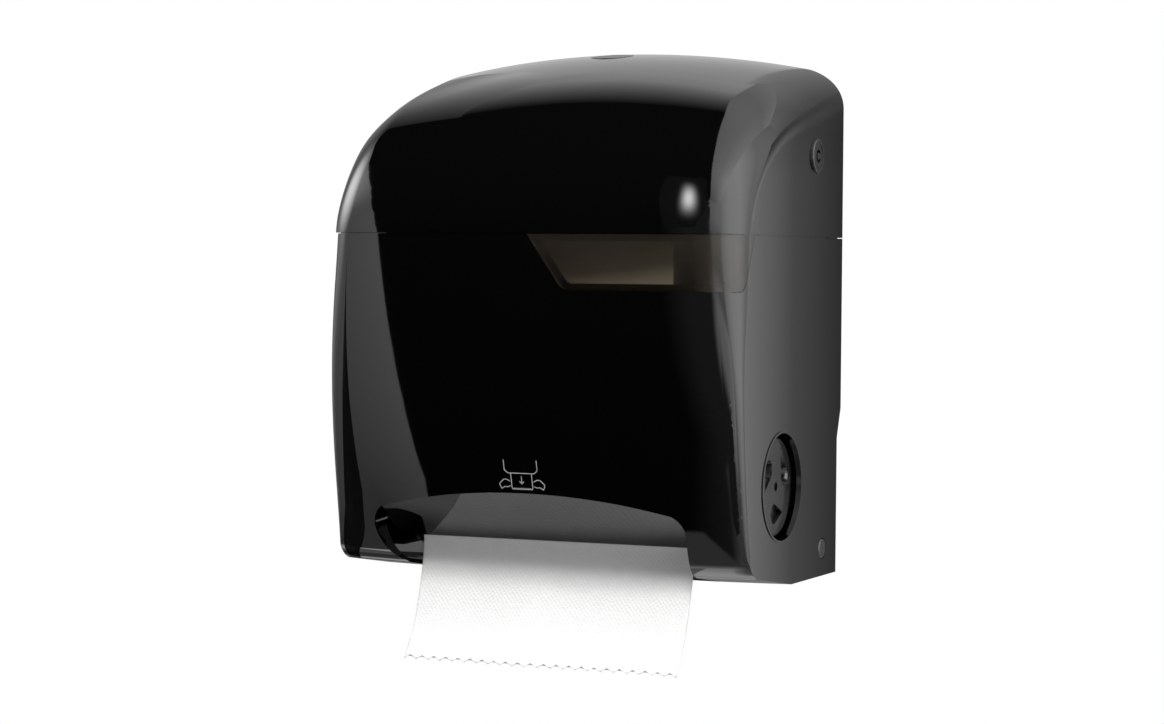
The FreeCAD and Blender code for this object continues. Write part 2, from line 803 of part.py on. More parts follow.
def build_mech_screws():
    screws = []
    for x, z in mech_screw_places():
        screws.append(join([rod_y(mech_screw_radius, -back_thickness - 3, -0.6, x, z),
                            rod_y(4, -back_thickness - 5.4, -back_thickness - 3, x, z)]))
    return Part.makeCompound(screws)


def build_mech_side_right():
    outline = [(-back_thickness, -112), (-60, -112), (-130, -112), (-150, -110), (-158, -118),
               (-150, -130), (-158, -150), (-158, -172), (-148, -192), (-122, -199),
               (-100, -215), (-back_thickness, -215)]
    x0 = plate_inner
    x1 = plate_inner + plate_thickness
    side = plate_x(outline, x0, x1)
    flange = box(plate_inner - 14, x0 + 1, -back_thickness - 3, -back_thickness, -215, -112)
    side = side.fuse(flange)
    side = side.cut(rod_x(bush_radius, 0, 200, drum_y, drum_z))
    side = side.cut(rod_x(tie_radius, 0, 200, tie_y, tie_z))
    side = side.cut(box(100, 130, bridge_y, bridge_y + 3, -185, -150))
    for z in (-124, -206):
        side = side.cut(rod_y(mech_screw_radius, -50, 0, plate_inner - 7, z))
    return side.removeSplitter()


def build_mech_side_left():
    return mirrored(build_mech_side_right()).cut(rod_x(3, -130, -100, post_y, post_z))


def build_rear_bridge():
    bridge = box(-plate_inner, plate_inner, bridge_y, bridge_y + 3, -205, -130)
    tabs = box(-plate_inner - plate_thickness, plate_inner + plate_thickness,
               bridge_y, bridge_y + 3, -185, -150)
    return join([bridge, tabs])


def build_tie_rod():
    end = plate_inner + plate_thickness + 2
    heads = [rod_x(tie_radius + 2, end - 2, end, tie_y, tie_z),
             rod_x(tie_radius + 2, -end, -end + 2, tie_y, tie_z)]
    return join([rod_x(tie_radius, -end, end, tie_y, tie_z)] + heads)


def build_bush_right():
    x0 = plate_inner
    body = rod_x(bush_radius, x0, x0 + plate_thickness, drum_y, drum_z)
    flange = rod_x(bush_radius + 3, x0 + plate_thickness, x0 + plate_thickness + 2,
                   drum_y, drum_z)
    return join([body, flange]).cut(rod_x(shaft_radius + running_clearance, 0, 200,
                                          drum_y, drum_z))


# Drum, knife and drive
def build_drum_front():
    return drum_half(160)


def build_drum_rear():
    return drum_half(-20)


def drum_half(start):
    """Half of the drum, from a start angle on for half a turn."""
    drum = tube_x(drum_radius, drum_radius - drum_wall, -drum_half_length, drum_half_length,
                  drum_y, drum_z)
    for x in (-drum_half_length, drum_half_length - 3):
        drum = drum.fuse(rod_x(drum_radius, x, x + 3, drum_y, drum_z))
        inner = x + 3 if x < 0 else x - 8
        drum = drum.fuse(rod_x(9, inner, inner + 8, drum_y, drum_z))
    drum = drum.cut(rod_x(shaft_radius, -200, 200, drum_y, drum_z))
    for x in band_places:
        drum = drum.cut(tube_x(drum_radius + 1, drum_radius - band_thickness,
                               x - band_width / 2, x + band_width / 2, drum_y, drum_z))
    keep = plate_x([polar(start, 60, drum_y, drum_z), polar(start + 60, 75, drum_y, drum_z),
                    polar(start + 120, 75, drum_y, drum_z), polar(start + 180, 60, drum_y, drum_z)],
                   -110, 110)
    drum = drum.common(keep)
    drum = drum.cut(knife_slot())
    pivot_y, pivot_z = knife_pivot()
    drum = drum.cut(rod_x(knife_pivot_shaft + running_clearance, -110, 110, pivot_y, pivot_z))
    return drum.removeSplitter()


def knife_slot():
    """Slot along the drum that the blade swings out of."""
    half = drum_half_length - 3.5
    wedge = sector(slot_angle_low, slot_angle_high, drum_radius + 4, -half, half, drum_y, drum_z)
    return wedge.cut(rod_x(drum_radius - drum_wall - 2, -half - 1, half + 1, drum_y, drum_z))


def knife_pivot():
    return polar(90, knife_pivot_radius, drum_y, drum_z)


def build_grip_bands():
    bands = []
    for x in band_places:
        band = tube_x(drum_radius, drum_radius - band_thickness, x - band_width / 2,
                      x + band_width / 2, drum_y, drum_z)
        bands.append(band.cut(knife_slot()))
    return Part.makeCompound(bands)


def build_drum_shaft():
    shaft = rod_x(shaft_radius, shaft_left, wheel_core_x, drum_y, drum_z)
    return shaft.cut(rod_x(1.5, wheel_core_x - 10, wheel_core_x + 1, drum_y, drum_z))


def teardrop(turn):
    """Finger scoop of the wheel: a round end that runs out to a point."""
    y, z = polar(turn, scoop_place, drum_y, drum_z)
    tip_y, tip_z = polar(turn + 48, scoop_place + 4.4, drum_y, drum_z)
    deep = Part.makeCone(scoop_radius - 1.2, scoop_radius, scoop_depth,
                         V(wheel_face - scoop_depth, y, z), X_AXIS)
    along = math.degrees(math.atan2(tip_z - z, tip_y - y))
    reach = math.hypot(tip_y - y, tip_z - z)
    spread = math.degrees(math.acos(scoop_radius / reach))
    ramp = plate_x([polar(along + spread, scoop_radius, y, z), (tip_y, tip_z),
                    polar(along - spread, scoop_radius, y, z)],
                   wheel_face - scoop_depth * 0.7, wheel_face)
    return join([deep, ramp])


def build_thumb_wheel():
    wheel = rod_x(wheel_radius, wheel_face - wheel_width, wheel_face, drum_y, drum_z)
    wheel = wheel.makeFillet(1.4, [e for e in wheel.Edges
                                   if isinstance(e.Curve, Part.Circle)])
    for turn in (20, 140, 260):
        wheel = wheel.cut(teardrop(turn))
    wheel = wheel.cut(rod_x(shaft_radius, 100, wheel_core_x, drum_y, drum_z))
    wheel = wheel.cut(rod_x(1.5, 100, 150, drum_y, drum_z))
    return wheel.cut(rod_x(3.2, wheel_core_x + 1.5, 150, drum_y, drum_z))


def build_wheel_screw():
    seat = wheel_core_x + 1.5
    return join([rod_x(1.5, wheel_core_x - 9, seat + 0.5, drum_y, drum_z),
                 rod_x(3, seat, seat + 2, drum_y, drum_z)])


def build_crank_disc():
    disc = tube_x(22, shaft_radius, crank_x, crank_x + 4, drum_y, drum_z)
    y, z = crank_pin()
    return join([disc, rod_x(2.5, crank_x - 6, crank_x + 1, y, z)])


def crank_pin():
    turn = math.degrees(math.atan2(post_z - drum_z, post_y - drum_y))
    return polar(turn, 18, drum_y, drum_z)


def build_spring_post():
    return join([rod_x(3, crank_x - 6, -plate_inner, post_y, post_z),
                 rod_x(4.5, crank_x + 4, -plate_inner - plate_thickness, post_y, post_z)])


def build_return_spring():
    """Tension spring from the crank pin to the post: two loops and a coiled body."""
    y0, z0 = crank_pin()
    x0 = crank_x - 5
    middle = x0 + 1.5
    loops = [tube_x(4.2, 2.5, x0, x0 + 3, y0, z0), tube_x(4.7, 3, x0, x0 + 3, post_y, post_z)]
    along = V(0, post_y - y0, post_z - z0)
    length = along.Length
    along.normalize()
    start = V(middle, y0, z0)
    body = [Part.makeCylinder(3.4, length - 16, start + along * 7.5, along),
            Part.makeCylinder(1, 5, start + along * 3.2, along),
            Part.makeCylinder(1, 6, start + along * (length - 9.4), along)]
    return join(loops + body)


def build_cam_track():
    """Cup on the left side plate whose wall holds the knife's follower home."""
    x0 = -plate_inner
    cup = rod_x(34, x0, x0 + cam_depth, drum_y, drum_z)
    cup = cup.cut(rod_x(track_radius, x0 + 1.6, x0 + cam_depth + 1, drum_y, drum_z))
    cup = cup.cut(rod_x(9, x0 - 1, x0 + 10, drum_y, drum_z))
    return cup.removeSplitter()


def build_trip_spring():
    """Spring leaf in the cup that pushes the follower inward as it passes."""
    x0 = -plate_inner + 2.2
    y, z = polar(235, track_radius - 3.6, drum_y, drum_z)
    outer = rod_x(track_radius, x0, x0 + 4, drum_y, drum_z)
    bump = rod_x(6, x0, x0 + 4, y, z).cut(rod_x(4.8, x0 - 1, x0 + 5, y, z))
    return bump.common(outer)


def build_knife_carrier():
    y, z = knife_pivot()
    shaft = rod_x(knife_pivot_shaft, follower_arm_x, drum_half_length, y, z)
    half = drum_half_length - 4
    hub = rod_x(3.6, -half, half, y, z)
    reach = polar(knife_angle_deg, knife_reach - 5, y, z)
    left = polar(knife_angle_deg + 90, 1.6, y, z)
    right = polar(knife_angle_deg - 90, 1.6, y, z)
    web = plate_x([left, polar(knife_angle_deg + 90, 1.6, *reach),
                   polar(knife_angle_deg - 90, 1.6, *reach), right], -half, half)
    foot_y, foot_z = follower_place()
    arm = arm_plate([(y, z, 4), (foot_y, foot_z, 3)], follower_arm_x, follower_arm_x + 2.4)
    pin = rod_x(1.5, follower_arm_x - 4.6, follower_arm_x + 1, foot_y, foot_z)
    carrier = join([shaft, hub, web, arm, pin])
    return carrier.cut(blade_slab())


def follower_place():
    y, z = knife_pivot()
    return polar(205, follower_arm, y, z)


def blade_slab():
    """Flat blade before its teeth are cut."""
    y, z = knife_pivot()
    start = polar(knife_angle_deg, 11, y, z)
    end = polar(knife_angle_deg, knife_reach, y, z)
    half = drum_half_length - 6
    return plate_x([polar(knife_angle_deg + 90, 0.5, *start), polar(knife_angle_deg + 90, 0.5, *end),
                    polar(knife_angle_deg - 90, 0.5, *end),
                    polar(knife_angle_deg - 90, 0.5, *start)], -half, half)


def build_knife_blade():
    """Blade with a serrated edge, the teeth cut square to its flat."""
    blade = blade_slab()
    half = drum_half_length - 6
    pitch = 2 * half / blade_teeth
    y, z = knife_pivot()
    notches = []
    for i in range(blade_teeth):
        x = -half + pitch * i
        tip = [V(x, 0, knife_reach + 1), V(x + pitch / 2, 0, knife_reach - 3),
               V(x + pitch, 0, knife_reach + 1)]
        notch = Part.Face(Part.makePolygon(tip + tip[:1])).extrude(V(0, 4, 0))
        notch.translate(V(0, -2, 0))
        notches.append(notch)
    comb = Part.makeCompound(notches)
    comb.rotate(V(0, 0, 0), X_AXIS, knife_angle_deg - 90)
    comb.translate(V(0, y, z))
    return blade.cut(comb)


def build_cam_follower():
    y, z = follower_place()
    return tube_x(follower_radius, 1.5, follower_arm_x - 4.4, follower_arm_x, y, z)


# Pinch frame and rollers
def pinch_place():
    return polar(180 - nip_angle_deg, drum_radius + pinch_radius + 2 * sheet_gap + towel_thickness,
                 drum_y, drum_z)


def build_pinch_frame():
    y, z = pinch_place()
    bar_y = y - 8.6
    bar_z = z + 13
    frame = []
    for x0 in (pinch_arm_x, -pinch_arm_x - 3):
        arm = arm_plate([(tie_y, tie_z, 6), (bar_y, bar_z, 4.5), (y, z, 5.5)], x0, x0 + 3)
        frame.append(arm)
    frame.append(rod_x(2.5, -pinch_arm_x - 1, pinch_arm_x + 1, bar_y, bar_z))
    result = join(frame)
    result = result.cut(rod_x(tie_radius + running_clearance, -200, 200, tie_y, tie_z))
    return result.cut(rod_x(pinch_shaft_radius + running_clearance, -200, 200, y, z))


def build_pinch_shaft():
    y, z = pinch_place()
    return rod_x(pinch_shaft_radius, -pinch_arm_x - 4, pinch_arm_x + 4, y, z)


def build_pinch_rollers():
    y, z = pinch_place()
    return Part.makeCompound([tube_x(pinch_radius, pinch_shaft_radius, x - band_width / 2,
                                     x + band_width / 2, y, z) for x in band_places])


def build_pinch_springs():
    springs = []
    for x0 in (pinch_arm_x + 3.3, -pinch_arm_x - 3.3 - 1.8):
        coil = tube_x(5, tie_radius + 0.2, x0, x0 + 1.8, tie_y, tie_z)
        leg_a = box(x0, x0 + 1.8, tie_y + 3, tie_y + 16, tie_z + 3, tie_z + 4.4)
        leg_b = box(x0, x0 + 1.8, tie_y - 12, tie_y - 3, tie_z + 3, tie_z + 4.4)
        springs.append(join([coil, leg_a, leg_b]))
    return Part.makeCompound(springs)


# Roll arms and paper
def roll_arm_right():
    arm = arm_plate([(roll_centre_y, roll_centre_z, 17), (roll_centre_y + 45, roll_centre_z, 12)],
                    arm_inner, arm_inner + arm_thickness)
    foot = plate_x([(-back_thickness - 12, 14), (roll_centre_y + 45, roll_centre_z + 12),
                    (roll_centre_y + 45, roll_centre_z - 12), (-back_thickness - 12, -50)],
                   arm_inner, arm_inner + arm_thickness)
    return join([arm, foot])


def build_roll_arm_right():
    reach = box(arm_inner, arm_inner + arm_thickness, -back_thickness - 12, -back_thickness,
                -50, 14)
    flange = box(arm_inner, arm_inner + 16, -back_thickness - 3, -back_thickness, -50, 14)
    return join([roll_arm_right(), reach, flange])


def build_hub_right():
    y, z = roll_centre_y, roll_centre_z
    inner = core_outer_radius - core_wall - hub_gap
    half = towel_width / 2
    return join([rod_x(inner, half - 14, half + hub_gap, y, z),
                 rod_x(inner + 7, half + hub_gap, half + 3, y, z),
                 rod_x(12, half + 3, arm_inner, y, z)])


def build_roll_arm_left():
    arm = mirrored(roll_arm_right())
    knuckle = rod_z(5, -30, -6, arm_pin_x, arm_pin_y)
    link = box(arm_pin_x, -arm_inner, arm_pin_y - 5, arm_pin_y + 1, -30, -6)
    arm = arm.cut(box(-200, 0, -back_thickness - 12.5, 0, -60, 20))
    plate = box(-arm_inner - arm_thickness, -arm_inner, arm_pin_y - 5.5, arm_pin_y - 2, -30, -6)
    arm = join([arm, plate, link, knuckle])
    return arm.cut(rod_z(arm_pin_radius + running_clearance, -60, 20, arm_pin_x, arm_pin_y))


def build_hub_left():
    y, z = roll_centre_y, roll_centre_z
    inner = core_outer_radius - core_wall - hub_gap
    half = towel_width / 2
    nose = Part.makeCone(inner - 6, inner, 12, V(-half + 12, y, z), V(-1, 0, 0))
    return join([nose, rod_x(inner, -half - hub_gap, -half, y, z),
                 rod_x(inner + 7, -half - 3, -half - hub_gap, y, z),
                 rod_x(12, -arm_inner, -half - 3, y, z)])


def build_arm_bracket():
    """Two knuckles on the back plate that hold the left arm's pin."""
    knuckles = []
    for z0, z1 in ((-36, -30.3), (-5.7, 0)):
        block = box(arm_pin_x - 5, arm_pin_x + 5, arm_pin_y, -back_thickness, z0, z1)
        knuckle = join([block, rod_z(5, z0, z1, arm_pin_x, arm_pin_y)])
        knuckles.append(knuckle.cut(rod_z(arm_pin_radius, z0 - 1, z1 + 1, arm_pin_x, arm_pin_y)))
    foot = box(arm_pin_x - 5, arm_pin_x + 5, -back_thickness - 1.6, -back_thickness, -36, 0)
    return join(knuckles + [foot])


def build_arm_pin():
    return join([rod_z(arm_pin_radius, -38, 0, arm_pin_x, arm_pin_y),
                 rod_z(arm_pin_radius + 1.4, 0, 1.6, arm_pin_x, arm_pin_y)])


def build_arm_spring():
    coil = rod_z(5.2, -44, -38, arm_pin_x, arm_pin_y).cut(
        rod_z(arm_pin_radius, -50, 0, arm_pin_x, arm_pin_y))
    leg = box(arm_pin_x - 5, arm_pin_x - 3.6, arm_pin_y, -back_thickness, -44, -38)
    return join([coil, leg])


def build_paper_roll():
    half = towel_width / 2
    return tube_x(roll_radius, core_outer_radius, -half, half, roll_centre_y, roll_centre_z)


def build_roll_core():
    half = towel_width / 2
    return tube_x(core_outer_radius, core_outer_radius - core_wall, -half, half,
                  roll_centre_y, roll_centre_z)


def web_path():
    """Middle line of the towel from the roll over the pinch roller and drum, then out."""
    half = towel_thickness / 2
    leave = roll_radius + sheet_gap + half
    wrap = pinch_radius + sheet_gap + half
    pinch_y, pinch_z = pinch_place()
    span_y = pinch_y - roll_centre_y
    span_z = pinch_z - roll_centre_z
    span = math.hypot(span_y, span_z)
    turn = math.degrees(math.atan2(span_z, span_y)) + math.degrees(math.acos(-(leave + wrap) / span))
    turn -= 360 * round(turn / 360)
    points = [polar(turn + 180, leave, roll_centre_y, roll_centre_z)]
    nip = -nip_angle_deg
    for i in range(9):
        points.append(polar(turn + (nip - turn) * i / 8, wrap, pinch_y, pinch_z))
    for i in range(1, 11):
        angle = 180 - nip_angle_deg + (nip_angle_deg + exit_angle_deg) * i / 10
        points.append(polar(angle, drum_radius + sheet_gap + half, drum_y, drum_z))
    tail = Part.BSplineCurve()
    tail.interpolate([V(0, -147.2, -202), V(0, -145.4, -208), V(0, -145.0, -214),
                      V(0, -147.4, -228), V(0, -151.8, -243), V(0, -161, -268),
                      V(0, -tail_swing, -tail_drop)])
    points += [(point.y, point.z) for point in tail.discretize(Number=16)]
    return points


def build_towel_sheet():
    points = web_path()
    left = []
    right = []
    for i, (y, z) in enumerate(points):
        y0, z0 = points[max(i - 1, 0)]
        y1, z1 = points[min(i + 1, len(points) - 1)]
        run = math.hypot(y1 - y0, z1 - z0)
        across_y = -(z1 - z0) / run * towel_thickness / 2
        across_z = (y1 - y0) / run * towel_thickness / 2
        left.append((y + across_y, z + across_z))
        right.append((y - across_y, z - across_z))
    half = towel_width / 2
    sheet = plate_x(left + right[::-1], -half, half)
    pitch = towel_width / tail_teeth
    low = -tail_drop
    comb = [(-half - 5, low - 9)]
    for i in range(tail_teeth):
        comb += [(-half + pitch * i, low), (-half + pitch * (i + 0.5), low + tooth_height)]
    comb += [(half, low), (half + 5, low - 9)]
    return sheet.cut(plate_y(comb, -250, -100))


nodes = {
    "cover_upper": build_cover_upper,
    "cover_lower": build_cover_lower,
    "window": build_window,
    "cover_screws": build_cover_screws,
    "lock_sleeve": build_lock_sleeve,
    "lock_nut": build_lock_nut,
    "lock_plug": build_lock_plug,
    "lock_cam": build_lock_cam,
    "lock_catch": build_lock_catch,
    "release_button": build_release_button,
    "button_spring": build_button_spring,
    "button_retainer": build_button_retainer,
    "latch_tongue": build_latch_tongue,
    "back_plate": build_back_plate,
    "hinge_pin_right": build_hinge_pin,
    "hinge_pin_left": lambda: mirrored(build_hinge_pin()),
    "mech_side_left": build_mech_side_left,
    "mech_side_right": build_mech_side_right,
    "mech_screws": build_mech_screws,
    "rear_bridge": build_rear_bridge,
    "tie_rod": build_tie_rod,
    "bush_right": build_bush_right,
    "bush_left": lambda: mirrored(build_bush_right()),
    "drum_front": build_drum_front,
    "drum_rear": build_drum_rear,
    "grip_bands": build_grip_bands,
    "drum_shaft": build_drum_shaft,
    "thumb_wheel": build_thumb_wheel,
    "wheel_screw": build_wheel_screw,
    "crank_disc": build_crank_disc,
    "spring_post": build_spring_post,
    "return_spring": build_return_spring,
    "cam_track": build_cam_track,
    "trip_spring": build_trip_spring,
    "knife_carrier": build_knife_carrier,
    "knife_blade": build_knife_blade,
    "cam_follower": build_cam_follower,
    "pinch_frame": build_pinch_frame,
    "pinch_shaft": build_pinch_shaft,
    "pinch_rollers": build_pinch_rollers,
    "pinch_springs": build_pinch_springs,
    "roll_arm_right": build_roll_arm_right,
    "hub_right": build_hub_right,
    "roll_arm_left": build_roll_arm_left,
    "hub_left": build_hub_left,
    "arm_bracket": build_arm_bracket,
    "arm_pin": build_arm_pin,
    "arm_spring": build_arm_spring,
    "paper_roll": build_paper_roll,
    "roll_core": build_roll_core,
    "towel_sheet": build_towel_sheet,
}

os.makedirs("parts", exist_ok=True)
for name, build in nodes.items():
    shape = build()
    if not shape.isValid():
        raise ValueError(name + " isn't valid")
    shape.exportStep("parts/" + name + ".step")
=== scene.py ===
import math

import bmesh
import bpy
import numpy as np
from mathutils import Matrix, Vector


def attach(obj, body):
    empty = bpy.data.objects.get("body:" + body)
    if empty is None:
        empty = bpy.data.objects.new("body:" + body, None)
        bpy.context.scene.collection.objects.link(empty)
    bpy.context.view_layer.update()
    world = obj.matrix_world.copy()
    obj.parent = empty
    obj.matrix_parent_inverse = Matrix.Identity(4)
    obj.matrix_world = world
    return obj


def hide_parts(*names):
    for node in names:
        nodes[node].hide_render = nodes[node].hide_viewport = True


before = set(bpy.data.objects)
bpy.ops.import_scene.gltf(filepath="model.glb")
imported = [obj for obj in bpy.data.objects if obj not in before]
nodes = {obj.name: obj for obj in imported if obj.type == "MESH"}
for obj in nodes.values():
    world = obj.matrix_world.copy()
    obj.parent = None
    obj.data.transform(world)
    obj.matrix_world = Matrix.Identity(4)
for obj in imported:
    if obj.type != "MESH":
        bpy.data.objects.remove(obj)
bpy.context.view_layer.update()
scene = bpy.context.scene
scene.view_settings.view_transform = "Standard"


# Materials that several pieces share
class Wire:
    """One socket of a material's node tree, with plain arithmetic on it."""

    def __init__(self, finish, socket):
        self.finish = finish
        self.socket = socket

    def sum(self, operation, *values):
        """Result of one Math operation."""
        inputs = {i: value for i, value in enumerate(values)}
        return self.finish.node("ShaderNodeMath", {"operation": operation}, inputs)

    def __add__(self, other):
        return self.sum("ADD", self, other)

    def __sub__(self, other):
        return self.sum("SUBTRACT", self, other)

    def __rsub__(self, other):
        return self.sum("SUBTRACT", other, self)

    def __mul__(self, other):
        return self.sum("MULTIPLY", self, other)

    __radd__ = __add__
    __rmul__ = __mul__


class Finish:
    """A material in the making."""

    def __init__(self, name, colour, roughness, metallic=0.0):
        self.material = bpy.data.materials.new(name)
        self.material.use_nodes = True
        self.tree = self.material.node_tree
        self.shader = self.tree.nodes["Principled BSDF"]
        self.shader.inputs["Base Color"].default_value = (*colour, 1)
        self.shader.inputs["Roughness"].default_value = roughness
        self.shader.inputs["Metallic"].default_value = metallic

    def node(self, kind, settings, inputs, output=0):
        """Adds a node, sets it, joins or fills its inputs, and gives back one output."""
        made = self.tree.nodes.new(kind)
        for name, value in settings.items():
            setattr(made, name, value)
        for name, value in inputs.items():
            if isinstance(value, Wire):
                self.tree.links.new(value.socket, made.inputs[name])
            else:
                made.inputs[name].default_value = value
        return Wire(self, made.outputs[output])

    def place(self):
        """Object coordinates, in metres."""
        return self.node("ShaderNodeTexCoord", {}, {}, "Object")

    def grain(self, scale, detail=2.0, rough=0.5, where=None, stretch=(1, 1, 1)):
        """Soft noise from 0 to 1, its scale in repeats to the metre."""
        spot = self.node("ShaderNodeMapping", {}, {"Vector": where or self.place(),
                                                   "Scale": stretch})
        return self.node("ShaderNodeTexNoise", {}, {"Vector": spot, "Scale": scale,
                                                    "Detail": detail, "Roughness": rough})

    def tint(self, factor, low, high):
        """Colour between two, chosen by a factor from 0 to 1."""
        return self.node("ShaderNodeMix", {"data_type": "RGBA"},
                         {0: factor, 6: (*low, 1), 7: (*high, 1)}, 2)

    def relief(self, height, depth):
        """Bump of a height field, its depth in metres, joined to the shader's normal."""
        bump = self.node("ShaderNodeBump", {}, {"Height": height, "Distance": depth,
                                                "Strength": 1.0})
        self.join("Normal", bump)

    def join(self, name, wire):
        """Feeds one input of the shader."""
        self.tree.links.new(wire.socket, self.shader.inputs[name])


def dress(finish, *names):
    """Gives carried-over solids their finish."""
    for name in names:
        mesh = nodes[name].data
        mesh.materials.clear()
        mesh.materials.append(finish.material)


def moulded(name, colour, shine, grain_depth=0.00004):
    """Injection-moulded plastic with spark-eroded grain and a little wear."""
    finish = Finish(name, colour, shine)
    fine = finish.grain(2600)
    broad = finish.grain(35, 4)
    finish.join("Base Color", finish.tint(broad, [c * 0.82 for c in colour],
                                          [c * 1.2 + 0.002 for c in colour]))
    finish.join("Roughness", shine - 0.06 + broad * 0.12)
    finish.relief(fine * 0.7 + broad * 0.3, grain_depth)
    return finish


# Back plate: black polypropylene with a fine spark-eroded grain
black_moulding = moulded("black_moulding", (0.022, 0.022, 0.023), 0.48)
dress(black_moulding, "back_plate", "lock_catch", "latch_tongue", "arm_bracket")


# Frame of the feed mechanism: black side plates, a bridge behind and a steel tie rod in front
def drawn_metal(name, colour, shine, along=(1, 1, 1)):
    """Drawn or turned metal, its fine lines stretched along one axis."""
    finish = Finish(name, colour, shine, 1.0)
    lines = finish.grain(900, 3, 0.6, stretch=along)
    cloud = finish.grain(60, 3)
    finish.join("Base Color", finish.tint(cloud, [c * 0.8 for c in colour], colour))
    finish.join("Roughness", shine - 0.08 + lines * 0.16)
    finish.relief(lines, 0.000012)
    return finish


steel_bar = drawn_metal("steel_bar", (0.60, 0.60, 0.61), 0.30, (0.03, 1, 1))
zinc_screw = drawn_metal("zinc_screw", (0.55, 0.56, 0.58), 0.34)
grey_moulding = moulded("grey_moulding", (0.23, 0.23, 0.24), 0.46)
dress(black_moulding, "mech_side_left", "mech_side_right", "rear_bridge")
dress(steel_bar, "tie_rod", "spring_post")
dress(zinc_screw, "mech_screws")
dress(grey_moulding, "bush_left", "bush_right", "cam_track")


# Drum: two grey half shells on a steel shaft, with rubber bands and a serrated blade inside
band_rubber = Finish("band_rubber", (0.035, 0.035, 0.036), 0.72)
ribs = band_rubber.node("ShaderNodeTexWave", {"bands_direction": "X"},
                        {"Vector": band_rubber.place(), "Scale": 160.0, "Distortion": 0.0})
band_dust = band_rubber.grain(400, 4)
band_rubber.join("Base Color", band_rubber.tint(band_dust, (0.025, 0.025, 0.026),
                                                (0.06, 0.06, 0.06)))
band_rubber.relief(ribs + band_dust * 0.3, 0.0002)
spring_wire = drawn_metal("spring_wire", (0.42, 0.42, 0.43), 0.33)
blade_steel = drawn_metal("blade_steel", (0.66, 0.66, 0.67), 0.22, (1, 0.05, 1))
dress(grey_moulding, "drum_front", "drum_rear", "crank_disc", "knife_carrier", "cam_follower")
dress(band_rubber, "grip_bands")
dress(steel_bar, "drum_shaft")
dress(zinc_screw, "wheel_screw")
dress(spring_wire, "return_spring", "trip_spring")
dress(blade_steel, "knife_blade")


# Pinch frame: a black swinging frame with rubber rollers that press the towel on the drum
dress(black_moulding, "pinch_frame")
dress(steel_bar, "pinch_shaft")
dress(band_rubber, "pinch_rollers")
dress(spring_wire, "pinch_springs")


# Roll arms: pale arms and hubs that carry the towel roll, the left one sprung
pale_moulding = moulded("pale_moulding", (0.60, 0.60, 0.58), 0.44)
dress(pale_moulding, "roll_arm_right", "roll_arm_left", "hub_right", "hub_left")
dress(steel_bar, "arm_pin")
dress(spring_wire, "arm_spring")


# Towel roll: white towelling wound on a board core, its layers shown as fine rings
roll_middle = Vector((0, -0.098, -0.018))
roll_radius = 0.0915
layers_per_metre = 2400
paper_white = (0.80, 0.80, 0.79)
wound_paper = Finish("wound_paper", paper_white, 0.95)
spot = wound_paper.node("ShaderNodeVectorMath", {"operation": "SUBTRACT"},
                        {0: wound_paper.place(), 1: tuple(roll_middle)})
across = wound_paper.node("ShaderNodeVectorMath", {"operation": "MULTIPLY"},
                          {0: spot, 1: (0.0, 1.0, 1.0)})
layer = wound_paper.node("ShaderNodeVectorMath", {"operation": "LENGTH"}, {0: across}, "Value")
layer = layer * layers_per_metre
rings = layer.sum("FRACT", layer)
fluff = wound_paper.grain(900, 4)
wound_paper.join("Base Color", wound_paper.tint(rings * 0.6 + fluff * 0.4, (0.70, 0.70, 0.68),
                                                (0.84, 0.84, 0.83)))
wound_paper.relief(rings * 0.5 + fluff, 0.00015)
core_board = Finish("core_board", (0.48, 0.36, 0.24), 0.85)
fibres = core_board.grain(700, 5, 0.7, stretch=(0.2, 1, 1))
core_board.join("Base Color", core_board.tint(fibres, (0.40, 0.30, 0.19), (0.56, 0.43, 0.29)))
core_board.relief(fibres, 0.00008)
dress(wound_paper, "paper_roll")
dress(core_board, "roll_core")


# Towel tail: one ply from the roll's front, round the pinch roller and over the drum
towel_width = 0.200
towel_ply = 0.0004
teeth = 22
tooth_steps = 8
tooth_height = 0.0035
straight_steps = 12
pinch_steps = 12
drum_steps = 14
tail_steps = 8
drum_middle = (-0.117, -0.167)
drum_radius = 0.040
pinch_radius = 0.0096
sheet_gap = 0.0003
nip_angle = math.radians(35)
exit_angle = math.radians(20.7)


def point_at(angle, radius, middle):
    """Point on a circle in Y and Z."""
    return (middle[0] + radius * math.cos(angle), middle[1] + radius * math.sin(angle))


